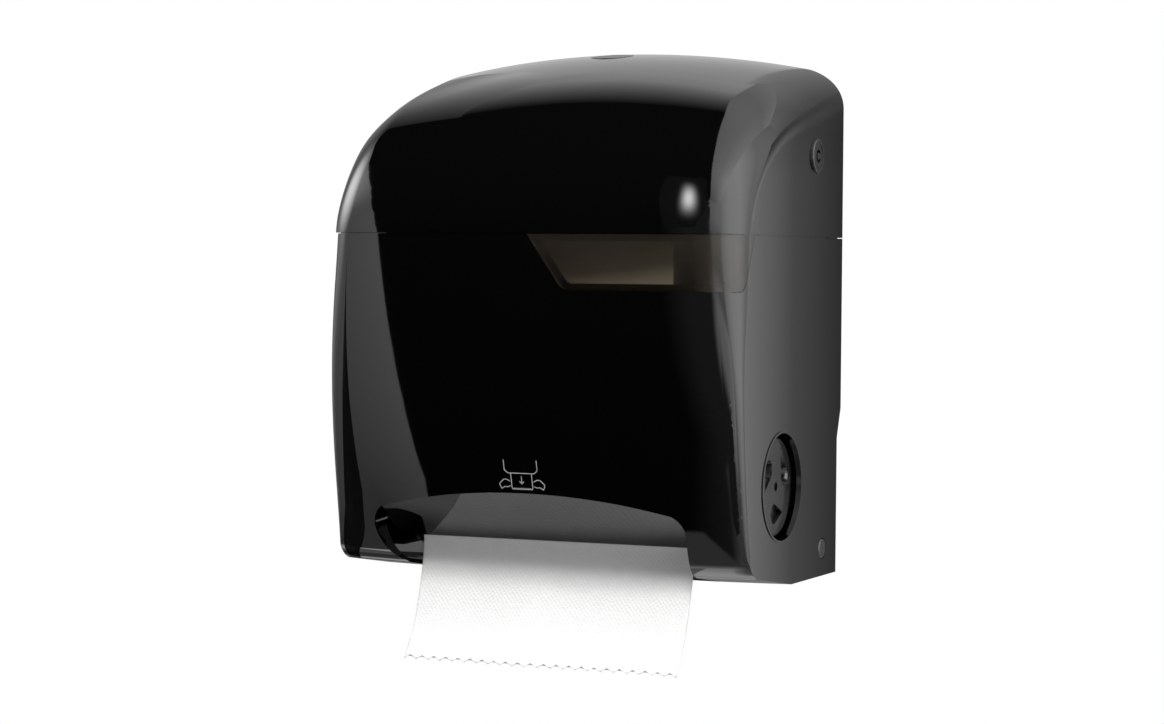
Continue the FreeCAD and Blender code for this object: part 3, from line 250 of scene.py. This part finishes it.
def towel_route():
    """Middle line of the towel in Y and Z, from the roll to the tail's end."""
    leave = roll_radius + sheet_gap + towel_ply / 2
    wrap = pinch_radius + sheet_gap + towel_ply / 2
    pinch = point_at(math.pi - nip_angle, drum_radius + pinch_radius + 2 * sheet_gap + towel_ply,
                     drum_middle)
    roll = (roll_middle.y, roll_middle.z)
    span = math.dist(pinch, roll)
    turn = (math.atan2(pinch[1] - roll[1], pinch[0] - roll[0])
            + math.acos(-(leave + wrap) / span)) % (2 * math.pi)
    route = [point_at(turn + math.pi, leave, roll)]
    start = point_at(turn, wrap, pinch)
    route += [tuple(np.array(route[0]) + (np.array(start) - route[0]) * i / straight_steps)
              for i in range(1, straight_steps)]
    for i in range(pinch_steps + 1):
        route.append(point_at(turn + (-nip_angle - turn) * i / pinch_steps, wrap, pinch))
    for i in range(1, drum_steps + 1):
        route.append(point_at(math.pi - nip_angle + (nip_angle + exit_angle) * i / drum_steps,
                              drum_radius + sheet_gap + towel_ply / 2, drum_middle))
    knots = [route[-1], (-0.1472, -0.202), (-0.1454, -0.208), (-0.1450, -0.214),
             (-0.1474, -0.228), (-0.1518, -0.243), (-0.161, -0.268), (-0.1755, -0.290)]
    for i in range(len(knots) - 1):
        p0 = np.array(knots[max(i - 1, 0)])
        p1 = np.array(knots[i])
        p2 = np.array(knots[i + 1])
        p3 = np.array(knots[min(i + 2, len(knots) - 1)])
        for j in range(1, tail_steps + 1):
            t = j / tail_steps
            route.append(tuple(0.5 * (2 * p1 + (p2 - p0) * t + (2 * p0 - 5 * p1 + 4 * p2 - p3)
                                      * t * t + (3 * p1 - p0 - 3 * p2 + p3) * t ** 3)))
    return route


route = towel_route()
run = [0.0]
for a, b in zip(route, route[1:]):
    run.append(run[-1] + math.dist(a, b))
columns = teeth * tooth_steps
towel_mesh = bmesh.new()
uv = towel_mesh.loops.layers.uv.new("towel")
grid = []
for j, (y, z) in enumerate(route):
    free = max(0.0, min(1.0, (-0.212 - z) / 0.06)) if y > -0.18 and z < -0.2 else 0.0
    row = []
    for i in range(columns + 1):
        x = -towel_width / 2 + towel_width * i / columns
        share = i / columns
        wave = (0.0011 * math.sin(share * 9.1 + 0.8) + 0.0006 * math.sin(share * 21.0 + 2.2)) * free
        lift = 0.0
        if j == len(route) - 1:
            phase = (i % tooth_steps) / tooth_steps
            lift = tooth_height * (1 - abs(2 * phase - 1))
        row.append(towel_mesh.verts.new((x, y + wave, z + lift)))
    grid.append(row)
for j in range(len(route) - 1):
    for i in range(columns):
        face = towel_mesh.faces.new((grid[j][i], grid[j + 1][i], grid[j + 1][i + 1],
                                     grid[j][i + 1]))
        corners = ((i, j), (i, j + 1), (i + 1, j + 1), (i + 1, j))
        for loop, (ci, cj) in zip(face.loops, corners):
            loop[uv].uv = (towel_width * ci / columns, run[cj])
        face.smooth = True
mesh = bpy.data.meshes.new("towel_tail")
towel_mesh.to_mesh(mesh)
towel = bpy.data.objects.new("towel_tail", mesh)
scene.collection.objects.link(towel)
thick = towel.modifiers.new("ply", "SOLIDIFY")
thick.thickness = towel_ply
thick.offset = 0
tissue = Finish("tissue", paper_white, 0.95)
sheet_uv = tissue.node("ShaderNodeUVMap", {"uv_map": "towel"}, {})
turned = tissue.node("ShaderNodeMapping", {}, {"Vector": sheet_uv, "Rotation": (0, 0, 0.7)})
dots = tissue.node("ShaderNodeTexVoronoi", {"feature": "F1"}, {"Vector": turned, "Scale": 420.0,
                                                               "Randomness": 0.25})
fibre = tissue.grain(2200, 5, 0.7, where=sheet_uv)
crepe = tissue.grain(500, 2, where=sheet_uv, stretch=(0.25, 1, 1))
blotch = tissue.grain(120, 3, where=sheet_uv)
tissue.join("Base Color", tissue.tint(blotch * 0.5 + fibre * 0.5, (0.74, 0.74, 0.73),
                                      (0.86, 0.86, 0.855)))
tissue.relief(dots * 0.9 + fibre * 0.35 + crepe * 0.5, 0.00045)
mesh.materials.append(tissue.material)
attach(towel, "housing")
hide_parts("towel_sheet")


# Cover shells: glossy black, one sweep of sections that fan out from an axis behind the wall
fan = (0.060, -0.050)
depth = 0.213
top = 0.1314
half_width = 0.1543
half_bow = 0.131
panel_round = 0.600
fins_round = 0.936
side_slant = math.tan(math.radians(1.5))
crease_z = [-0.240, -0.226, -0.216, -0.205, -0.185, -0.110, 0.005]
crease_x = [0.1472, 0.1472, 0.1466, 0.1450, 0.1413, 0.1384, 0.1313]
turns = np.linspace(-90, 90, 721)
even_reach = 24


def eased(knots):
    """Size at each turn, smooth through a few (turn, size) knots, their steps evened out."""
    result = np.full_like(turns, knots[0][1])
    for (p0, s0), (p1, s1) in zip(knots, knots[1:]):
        share = np.clip((turns - p0) / (p1 - p0), 0, 1)
        share = share * share * (3 - 2 * share)
        result = np.where(turns > p0, s0 + (s1 - s0) * share, result)
    weights = np.full(2 * even_reach + 1, 1 / (2 * even_reach + 1))
    return np.convolve(np.pad(result, even_reach, "edge"), weights, "valid")


corner_radii = eased([(-60, 0.004), (-29, 0.005), (-13, 0.007), (10, 0.0225), (24, 0.032),
                      (36, 0.044), (48, 0.046), (60, 0.038), (72, 0.030)])
bulges = eased([(-34, 0.009), (10, 0.012), (30, 0.013), (46, 0.017), (58, 0.015), (72, 0.013)])


def skin_distance(points, form):
    """How far points stand outside one of the cover's three skins, in metres."""
    x = np.abs(points[:, 0])
    reach_y = fan[0] - points[:, 1]
    reach_z = points[:, 2] - fan[1]
    r = np.hypot(reach_y, reach_z)
    turn = np.arctan2(reach_z, reach_y)
    angle = np.degrees(turn)
    cos, sin = np.cos(turn), np.sin(turn)
    if form == "upper":
        a = (cos / depth) ** 2 + (sin / top) ** 2
        b = 2 * (-fan[0] * cos / depth ** 2 + fan[1] * sin / top ** 2)
        c = (fan[0] / depth) ** 2 + (fan[1] / top) ** 2 - 1
        reach = (-b + np.sqrt(b * b - 4 * a * c)) / (2 * a)
    else:
        round_front = fins_round if form == "fins" else panel_round
        dy = fan[0] - (round_front - depth)
        b = -dy * cos + fan[1] * sin
        reach = -b + np.sqrt(b * b - dy * dy - fan[1] ** 2 + round_front ** 2)
    radius = np.interp(angle, turns, corner_radii)
    bow = half_bow ** 2 / (2 * np.interp(angle, turns, bulges))
    middle = reach - bow
    slope = side_slant * cos
    base = half_width + side_slant * fan[0]
    lean = np.hypot(1, slope)
    start = base - radius * lean
    a = 1 + slope * slope
    b = -2 * (start * slope + middle)
    c = start ** 2 + middle ** 2 - (bow - radius) ** 2
    along = (-b + np.sqrt(np.maximum(b * b - 4 * a * c, 0))) / (2 * a)
    corner = start - slope * along
    side = (x - base + slope * r) / lean
    front = np.hypot(x, r - middle) - bow
    rounding = np.hypot(x - corner, r - along) - radius
    past_side = (x - corner) * slope < (r - along)
    past_front = (x - corner) * (along - middle) > (r - along) * corner
    return np.where(past_side & past_front, rounding, np.maximum(side, front))


def skin_slope(points, form):
    """Outward direction of a skin at points near it."""
    step = 0.0004
    slope = np.zeros_like(points)
    for axis in range(3):
        ahead = points.copy()
        behind = points.copy()
        ahead[:, axis] += step
        behind[:, axis] -= step
        slope[:, axis] = skin_distance(ahead, form) - skin_distance(behind, form)
    return slope / np.linalg.norm(slope, axis=1, keepdims=True)


skin_reach = 0.0013
skin_likeness = 0.985
sharp_edge = math.radians(20)
shortest_edge = 0.0008
flat_edge = 0.008
curved_edge = 0.004
bent_likeness = 0.9992
curved_likeness = 0.99999
split_rounds = 6


def true_skin(node, name, forms):
    """Copy of a cover solid whose shading follows the swept skin instead of its flats."""
    body = bmesh.new()
    body.from_mesh(nodes[node].data)
    bmesh.ops.remove_doubles(body, verts=body.verts, dist=2e-6)
    bmesh.ops.triangulate(body, faces=body.faces)

    def skins():
        """Each corner's distance from the skins and their outward directions there."""
        spots = np.array([vert.co[:] for vert in body.verts])
        away = [np.abs(skin_distance(spots, form)) for form in forms]
        return np.array(away), np.array([skin_slope(spots, form) for form in forms])

    body.verts.index_update()
    body.normal_update()
    away, slope = skins()
    for face in body.faces:
        corners = [vert.index for vert in face.verts]
        middle = face.calc_center_median()
        k = len(forms) - 1 if abs(middle.x) > np.interp(middle.z, crease_z, crease_x) else 0
        fits = slope[k, corners].mean(0) @ np.array(face.normal) > skin_likeness
        face.material_index = k + 1 if fits and away[k, corners].max() < skin_reach else 0
        face.smooth = True
    for edge in body.edges:
        marks = {face.material_index for face in edge.link_faces}
        edge.smooth = len(marks) == 1 and edge.calc_face_angle(0) < sharp_edge
    for _ in range(split_rounds):
        coarse = []
        for edge in body.edges:
            mark = max(face.material_index for face in edge.link_faces)
            length = edge.calc_length()
            if mark and length > shortest_edge:
                a, b = [slope[mark - 1, vert.index] for vert in edge.verts]
                bent = a @ b < bent_likeness
                curved = a @ b < curved_likeness and length > curved_edge
                if bent or curved or length > flat_edge:
                    coarse.append(edge)
        if not coarse:
            break
        bmesh.ops.subdivide_edges(body, edges=coarse, cuts=1)
        bmesh.ops.triangulate(body, faces=body.faces)
        body.verts.index_update()
        away, slope = skins()
    mesh = bpy.data.meshes.new(name)
    body.to_mesh(mesh)
    body.free()
    count = len(mesh.loops)
    corner = np.zeros(count * 3)
    mesh.corner_normals.foreach_get("vector", corner)
    corner = corner.reshape(-1, 3)
    owner = np.zeros(count, dtype=np.int32)
    mesh.loops.foreach_get("vertex_index", owner)
    marks = np.zeros(len(mesh.polygons), dtype=np.int32)
    mesh.polygons.foreach_get("material_index", marks)
    for k in range(len(forms)):
        lies = np.repeat(marks == k + 1, 3)
        corner[lies] = slope[k, owner[lies]]
    mesh.normals_split_custom_set(corner)
    mesh.polygons.foreach_set("material_index", np.zeros_like(marks))
    piece = bpy.data.objects.new(name, mesh)
    scene.collection.objects.link(piece)
    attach(piece, "cover")
    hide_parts(node)
    return piece


gloss_black = Finish("gloss_black", (0.0012, 0.0012, 0.0012), 0.03)
haze = gloss_black.grain(18, 4)
gloss_black.join("Roughness", 0.018 + haze * 0.02)
gloss_black.relief(gloss_black.grain(60, 1), 0.000001)
for shell in (true_skin("cover_upper", "upper_shell", ["upper"]),
              true_skin("cover_lower", "lower_shell", ["panel", "fins"])):
    shell.data.materials.append(gloss_black.material)
dress(zinc_screw, "cover_screws")


# Window: a strip of smoked polycarbonate between the shells, clearer low down and less clear
# towards its top as painted shade on the roll behind, and less clear towards its right-hand corner
smoked = Finish("smoked", (0.022, 0.018, 0.014), 0.04)
smoked.shader.inputs["IOR"].default_value = 1.5
smoked.join("Roughness", 0.025 + smoked.grain(20, 3) * 0.03)
smoked.relief(smoked.grain(90, 1), 0.000001)
clear = smoked.node("ShaderNodeBsdfTransparent", {}, {"Color": (0.88, 0.84, 0.78, 1)})
rise = smoked.node("ShaderNodeSeparateXYZ", {}, {0: smoked.place()}, 2)
# Painted shade: the window lets less through towards its top, so the roll behind looks darker there
passing_with_painted_shade = smoked.node("ShaderNodeMapRange", {}, {"Value": rise, "From Min": -0.036,
                                                 "From Max": -0.006, "To Min": 0.88,
                                                 "To Max": 0.50})
sideways = smoked.node("ShaderNodeSeparateXYZ", {}, {0: smoked.place()}, 0)
corner = smoked.node("ShaderNodeMapRange", {}, {"Value": sideways, "From Min": 0.118,
                                                "From Max": 0.130, "To Min": 1.0,
                                                "To Max": 0.25})
both = smoked.node("ShaderNodeMixShader", {}, {0: passing_with_painted_shade * corner, 2: clear})
smoked.tree.links.new(smoked.shader.outputs[0], both.socket.node.inputs[1])
smoked.tree.links.new(both.socket, smoked.tree.nodes["Material Output"].inputs["Surface"])
window_strip = true_skin("window", "window_strip", ["panel"])
window_strip.data.materials.append(smoked.material)


# Pictogram: two hands pull a sheet down, with an arrow between them, in thin pale lines
print_middle = (-0.006, -0.160)
line_width = 0.00042
line_sunk = -0.00005
line_proud = 0.00006


def hand(side):
    """Outline of a hand that holds the sheet's corner."""
    shape = [(8.6, -4.6), (11.2, -3.2), (13.4, -3.4), (16.6, -6.6), (15.2, -9.8), (12.8, -8.2),
             (10.8, -8.6), (8.6, -7.6)]
    return [(side * u, w) for u, w in shape]


strokes = [[(-12, 10), (-12, 3), (-9.5, 1), (9.5, 1), (12, 3), (12, 10)],
           [(-7.6, 1), (-7.6, -9)], [(7.6, 1), (7.6, -9)],
           [(-7.6 + i * 0.95, -9 - (i % 2) * 1.2) for i in range(17)],
           [(0, -1), (0, -6)], [(-1.6, -4.4), (0, -6.2), (1.6, -4.4)], hand(-1), hand(1)]
prints = bmesh.new()
for stroke in strokes:
    for (u0, w0), (u1, w1) in zip(stroke, stroke[1:]):
        reach = math.dist((u0, w0), (u1, w1))
        steps = max(1, round(reach / 2))
        off = np.array((w0 - w1, u1 - u0)) / reach * line_width / 2
        ring = []
        for i in range(steps + 1):
            share = i / steps
            middle = np.array((u0 + (u1 - u0) * share, w0 + (w1 - w0) * share)) / 1000
            for side, lift in ((-1, line_sunk), (1, line_sunk), (1, line_proud), (-1, line_proud)):
                u, w = middle + off * side
                spot = np.array([[print_middle[0] + u, -0.19, print_middle[1] + w]])
                for _ in range(4):
                    spot[0, 1] += skin_distance(spot, "panel")[0] - lift
                ring.append(prints.verts.new(spot[0]))
        for i in range(steps):
            a, b = ring[4 * i:4 * i + 4], ring[4 * i + 4:4 * i + 8]
            for k in range(4):
                prints.faces.new((a[k], b[k], b[(k + 1) % 4], a[(k + 1) % 4]))
        prints.faces.new(ring[:4])
        prints.faces.new(ring[-4:][::-1])
bmesh.ops.recalc_face_normals(prints, faces=prints.faces)
mesh = bpy.data.meshes.new("pull_pictogram")
prints.to_mesh(mesh)
prints.free()
pictogram = bpy.data.objects.new("pull_pictogram", mesh)
scene.collection.objects.link(pictogram)
pale_ink = Finish("pale_ink", (0.55, 0.55, 0.54), 0.5)
speckle = pale_ink.grain(1500, 3)
pale_ink.join("Base Color", pale_ink.tint(speckle, (0.46, 0.46, 0.45), (0.62, 0.62, 0.61)))
mesh.materials.append(pale_ink.material)
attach(pictogram, "cover")


# Lock: dark plastic sleeve and plug, a nut and a steel cam behind the wall
lock_grey = moulded("lock_grey", (0.020, 0.020, 0.020), 0.20, 0.00001)
dress(lock_grey, "lock_sleeve", "lock_plug")
dress(black_moulding, "lock_nut")
dress(blade_steel, "lock_cam")


# Release button: satin black cap on a stem with its spring and clip, in the top
satin_black = moulded("satin_black", (0.015, 0.015, 0.016), 0.34, 0.00002)
dress(satin_black, "release_button", "button_retainer")
dress(spring_wire, "button_spring")


# Hinge pins: domed dark plastic heads low on both sides
dress(lock_grey, "hinge_pin_right", "hinge_pin_left")


# Thumb wheel: dark moulded wheel with three finger scoops round a screwed centre
wheel_grey = moulded("wheel_grey", (0.012, 0.012, 0.012), 0.12, 0.000004)
wheel_grey.shader.inputs["IOR"].default_value = 2.1
dress(wheel_grey, "thumb_wheel")


# Studio: a pale floor and backdrop, soft lamps, and a room of cards that only gloss sees
def stage(name, corners, glow, card=True):
    """Flat piece of the studio. A card shows in gloss alone, a wall to the camera as well."""
    mesh = bpy.data.meshes.new(name)
    mesh.from_pydata(corners, [], [range(len(corners))])
    piece = bpy.data.objects.new(name, mesh)
    scene.collection.objects.link(piece)
    surface = Finish(name, (0.82, 0.82, 0.82), 0.9)
    light = surface.node("ShaderNodeEmission", {}, {"Color": (1, 1, 1, 1)})
    strength = light.socket.node.inputs["Strength"]
    if callable(glow):
        spot = surface.node("ShaderNodeSeparateXYZ", {}, {0: surface.place()})
        axes = [Wire(surface, output) for output in spot.socket.node.outputs]
        surface.tree.links.new(glow(*axes).socket, strength)
    else:
        strength.default_value = glow
    output = surface.tree.nodes["Material Output"].inputs["Surface"]
    if card:
        piece.visible_camera = False
        piece.visible_diffuse = False
        piece.visible_transmission = False
        piece.visible_shadow = False
        surface.tree.links.new(light.socket, output)
    else:
        rays = surface.node("ShaderNodeLightPath", {}, {}, "Is Camera Ray")
        shown = [Wire(surface, rays.socket.node.outputs[kind])
                 for kind in ("Is Camera Ray", "Is Glossy Ray", "Is Transmission Ray")]
        seen = shown[0].sum("MAXIMUM", shown[0], shown[1])
        seen = seen.sum("MAXIMUM", seen, shown[2])
        mixed = surface.node("ShaderNodeMixShader", {}, {0: seen, 2: light})
        surface.tree.links.new(surface.shader.outputs[0], mixed.socket.node.inputs[1])
        surface.tree.links.new(mixed.socket, output)
    mesh.materials.append(surface.material)


def fade(value, low, high, start, end):
    """Straight change from one strength to another between two values, level beyond."""
    inputs = {"Value": value, "From Min": low, "From Max": high, "To Min": start, "To Max": end}
    return value.finish.node("ShaderNodeMapRange", {"clamp": True}, inputs)


def level_card(x0, x1, y0, y1, z):
    """Corners of a level rectangle."""
    return [(x0, y0, z), (x1, y0, z), (x1, y1, z), (x0, y1, z)]


def cross_card(x0, x1, y, z0, z1):
    """Corners of an upright rectangle across the view."""
    return [(x0, y, z0), (x1, y, z0), (x1, y, z1), (x0, y, z1)]


def side_card(x, y0, y1, z0, z1):
    """Corners of an upright rectangle along the view."""
    return [(x, y0, z0), (x, y1, z0), (x, y1, z1), (x, y0, z1)]


ground = -1.35
stage("floor", level_card(-5, 5, -5, 2, ground), 1.0, False)
stage("backdrop", cross_card(-5, 5, 2, ground, 4), 1.0, False)


def front_glow(x, z, across):
    """Strength of the front wall and the floor before it: dark, then bright on the right."""
    bright = fade(z, -0.15, 0.8, 1.0, 2.0) + fade(z, -0.25, -0.15, 1.2, 0)
    bright = bright * fade(z, -1.25, -0.8, 0.3, 1) * (x * 0.3 + 0.8)
    return fade(x, -0.16, 0, 0, 0.14) + fade(across, 0.13, 0.16, 0, 1) * bright


def left_glow(y, z):
    """White wall, duller near the floor and behind, with one soft lamp high up."""
    near = fade(z, -1.1, -0.1, 0.45, 1.05) + fade(z, 0.1, 0.7, 0, 0.25)
    near = near + fade(y, -1.5, -1.1, 0.6, 0)
    rear = fade(z, 0.8, 1.2, 0, 1) * fade(y, 0.45, 1.8, -0.30, 0.56)
    spread = (y + 0.33) * (y + 0.33) + (z - 0.60) * (z - 0.60)
    spot = fade(spread, 0, 0.5, 1, 0)
    return near * fade(y, 0.1, 0.5, 1, 0.28) + rear + spot * spot * 7


def ceiling_glow(x, y):
    """Dark on the left, where it brightens to the back, and bright on the right."""
    left = fade(y, 0.60, 1.5, 0, 1) * fade(x, -1.2, -0.9, 0.86, 1)
    right = fade(y, -1.0, 1.4, 2.0, 0.7) * (1 + x * 0.5 + fade(x, 0.7, 1.5, 0, 0.4))
    right = right * fade(y, -2.6, -1.2, 0.6, 1)
    edge = fade(y, -1.9, 0.5, 0.13, -0.10) + fade(y, 0.5, 1.1, 0, -0.17)
    share = fade(x - edge, -0.01, 0.03, 0, 1)
    return left * (1 - share) + right * share


def rear_glow(x, z):
    """Rear wall, paler towards the ceiling and the left."""
    left = fade(z, 0, 0.55, 0.2, 0.66) + fade(z, 0.55, 1.7, 0, 0.29)
    right = fade(z, 0.3, 1.7, 0.14, 0.75) + fade(z, -0.2, 0, 0.55, 0) * fade(x, 0.4, 0.6, 0, 1)
    share = fade(x, -0.50, -0.35, 0, 1)
    return left * (1 - share) + right * share + fade(x, 1.05, 1.5, 0, 0.35)


def floor_glow(x, y):
    """Dark before the object, white below and behind it."""
    slant = (x * 2.1).sum("MAXIMUM", x * 2.1, -0.23)
    share = fade(y - slant, -1.19, -1.16, 0, 1) * fade(x, -0.003, 0.003, 1, 0)
    far = front_glow(x, y, x + fade(y, -2.6, -2.1, 0.085, 0.148)) * fade(y, -1.2, -1.0, 1, 0.4)
    near = fade(y, -0.55, -0.35, 0, 2.4) * fade(y, 0.05, 0.9, 1, 0.15)
    return far * (1 - share) + share * 0.5 + near * fade(x + y * 0.16, -0.12, -0.09, 1, 0.1)


def right_glow(y, z):
    """Bright wall, strongest beside and just before the object, duller at both ends and low."""
    level = fade(y, -2.6, -0.9, 2.3, 4.1) + fade(y, -0.1, 0.9, 0, -2.4)
    level = level + fade(y, 0.9, 1.9, 0, -0.8)
    return level * fade(z, -0.9, -0.2, 0.35, 1)


def wall_front_glow(x, z):
    """Front wall, its dark part narrower near the floor."""
    across = x + fade(z, -1.25, -0.85, 0.085, 0.04) + fade(z, -0.85, -0.35, 0, -0.04)
    return front_glow(x, z, across)


def panel_glow(x, z):
    """Grey panel behind on the right, which shades the side from front to back."""
    low = (fade(x, 0.345, 0.39, 0, 0.21) + fade(x, 0.39, 0.45, 0, 0.75)) * fade(z, 0.06, 0.25, 1, 0)
    return low + fade(z, 0.1, 0.3, 0.14, 0.34)


def mouth_shade_glow(x, y):
    """Grey card under the mouth, darker to the back: painted shade that the visor shows in its
    reflection.
    """
    return fade(y, -0.127, -0.105, 0.56, 0.16) * fade(x, -0.26, -0.19, 1.25, 1)


def strip_glow(x, z):
    """Small upright strip light that the front shows as a soft glint."""
    across = x + z * z * 0.0415 - 0.0665
    across = fade(across * across, 0, 0.0036, 1, 0)
    along = fade((z - 0.9) * (z - 0.9), 0, fade(z, 0.85, 1.0, 0.52, 0.9), 1, 0)
    glow = across * across * along * along
    return glow * glow * glow * 14.5 + 0.06


left, right, near, far, low, high = -1.22, 1.5, -2.6, 2, -1.3, 1.8
stage("dark_left", side_card(left, far, near, low, high), 0)
wall_edge = [(-1.36, -1.3), (-1.42, -1.15), (-1.437, -0.9), (-1.435, -0.7), (-1.405, -0.45),
             (-1.36, -0.2), (-1.327, 0.0), (-1.30, 0.16), (-1.245, 0.343), (-1.18, 0.50),
             (-1.08, 0.65), (-0.96, 0.813), (-0.81, 0.958), (-0.66, 1.055), (-0.50, 1.14),
             (-0.35, 1.20), (-0.20, 1.235), (-0.05, 1.22), (0.10, 1.15), (0.28, 1.08),
             (0.42, 1.10), (0.50, 1.30), (0.55, 1.8), (1.97, 1.8), (1.97, -1.3)]
stage("left_wall", [(-1.2, y, z) for y, z in wall_edge], lambda x, y, z: left_glow(y, z))
stage("ceiling", level_card(left, right, near, far, high), lambda x, y, z: ceiling_glow(x, y))
stage("rear_wall", cross_card(left, right, 1.98, low, high), lambda x, y, z: rear_glow(x, z))
stage("right_wall", side_card(right, near, far, low, high), lambda x, y, z: right_glow(y, z))
stage("front_wall", cross_card(left, right, near, low, high), lambda x, y, z: wall_front_glow(x, z))
stage("low_floor", level_card(left, right, near, far, low), lambda x, y, z: floor_glow(x, y))
stage("rear_panel", cross_card(0.30, 0.60, 0.5, low, 0.3), lambda x, y, z: panel_glow(x, z))
# Painted shade in the visor's reflection, standing in for the shaded towel under the mouth
stage("mouth_shade_card", level_card(-0.30, 0.03, -0.16, 0, -0.4), lambda x, y, z: mouth_shade_glow(x, y))
strip_edge = [(-0.01, 0.2), (0.085, 0.2), (0.11, 0.6), (0.10, 0.97), (0.0, 2.1), (-0.2, 2.1)]
stage("strip_light", [(x, -1.39, z) for x, z in strip_edge], lambda x, y, z: strip_glow(x, z))


def lamp(name, place, aim, size, power):
    """Soft rectangular lamp at a place, turned to a point. Gloss shows the cards instead."""
    light = bpy.data.lights.new(name, "AREA")
    light.shape = "RECTANGLE"
    light.size, light.size_y = size
    light.energy = power
    piece = bpy.data.objects.new(name, light)
    piece.location = place
    piece.rotation_euler = (Vector(aim) - Vector(place)).to_track_quat("-Z", "Y").to_euler()
    piece.visible_glossy = False
    scene.collection.objects.link(piece)


lamp("top_box", (0.2, -0.5, 1.5), (0, -0.1, 0), (1.4, 1.0), 14)
lamp("left_box", (-1.2, -1.1, 0.9), (0, -0.1, 0), (0.6, 1.0), 5)
lamp("right_box", (1.5, -0.9, 0.6), (0, -0.1, 0), (0.6, 1.2), 8)
lamp("front_box", (0.15, -1.0, 1.1), (0, -0.145, -0.25), (0.7, 0.35), 27)

seen_level = 1.0
lit_level = 0.11
world = bpy.data.worlds.new("room")
scene.world = world
world.use_nodes = True
room = world.node_tree
back = room.nodes["Background"]
back.inputs["Color"].default_value = (1, 1, 1, 1)
rays = room.nodes.new("ShaderNodeLightPath")
level = room.nodes.new("ShaderNodeMath")
level.operation = "MULTIPLY_ADD"
room.links.new(rays.outputs["Is Camera Ray"], level.inputs[0])
level.inputs[1].default_value = seen_level - lit_level
level.inputs[2].default_value = lit_level
room.links.new(level.outputs[0], back.inputs["Strength"])


# Camera: at the height of the parting line and to the right, with a long lens
lens = bpy.data.cameras.new("camera")
lens.lens = 85.744
lens.sensor_width = 36.0
lens.shift_y = -0.03952
lens.clip_end = 50
camera = bpy.data.objects.new("camera", lens)
camera.location = (0.75161, -1.86578, -0.02206)
camera.rotation_euler = tuple(math.radians(a) for a in (88.9972, -0.5094, 23.1205))
scene.collection.objects.link(camera)
scene.camera = camera
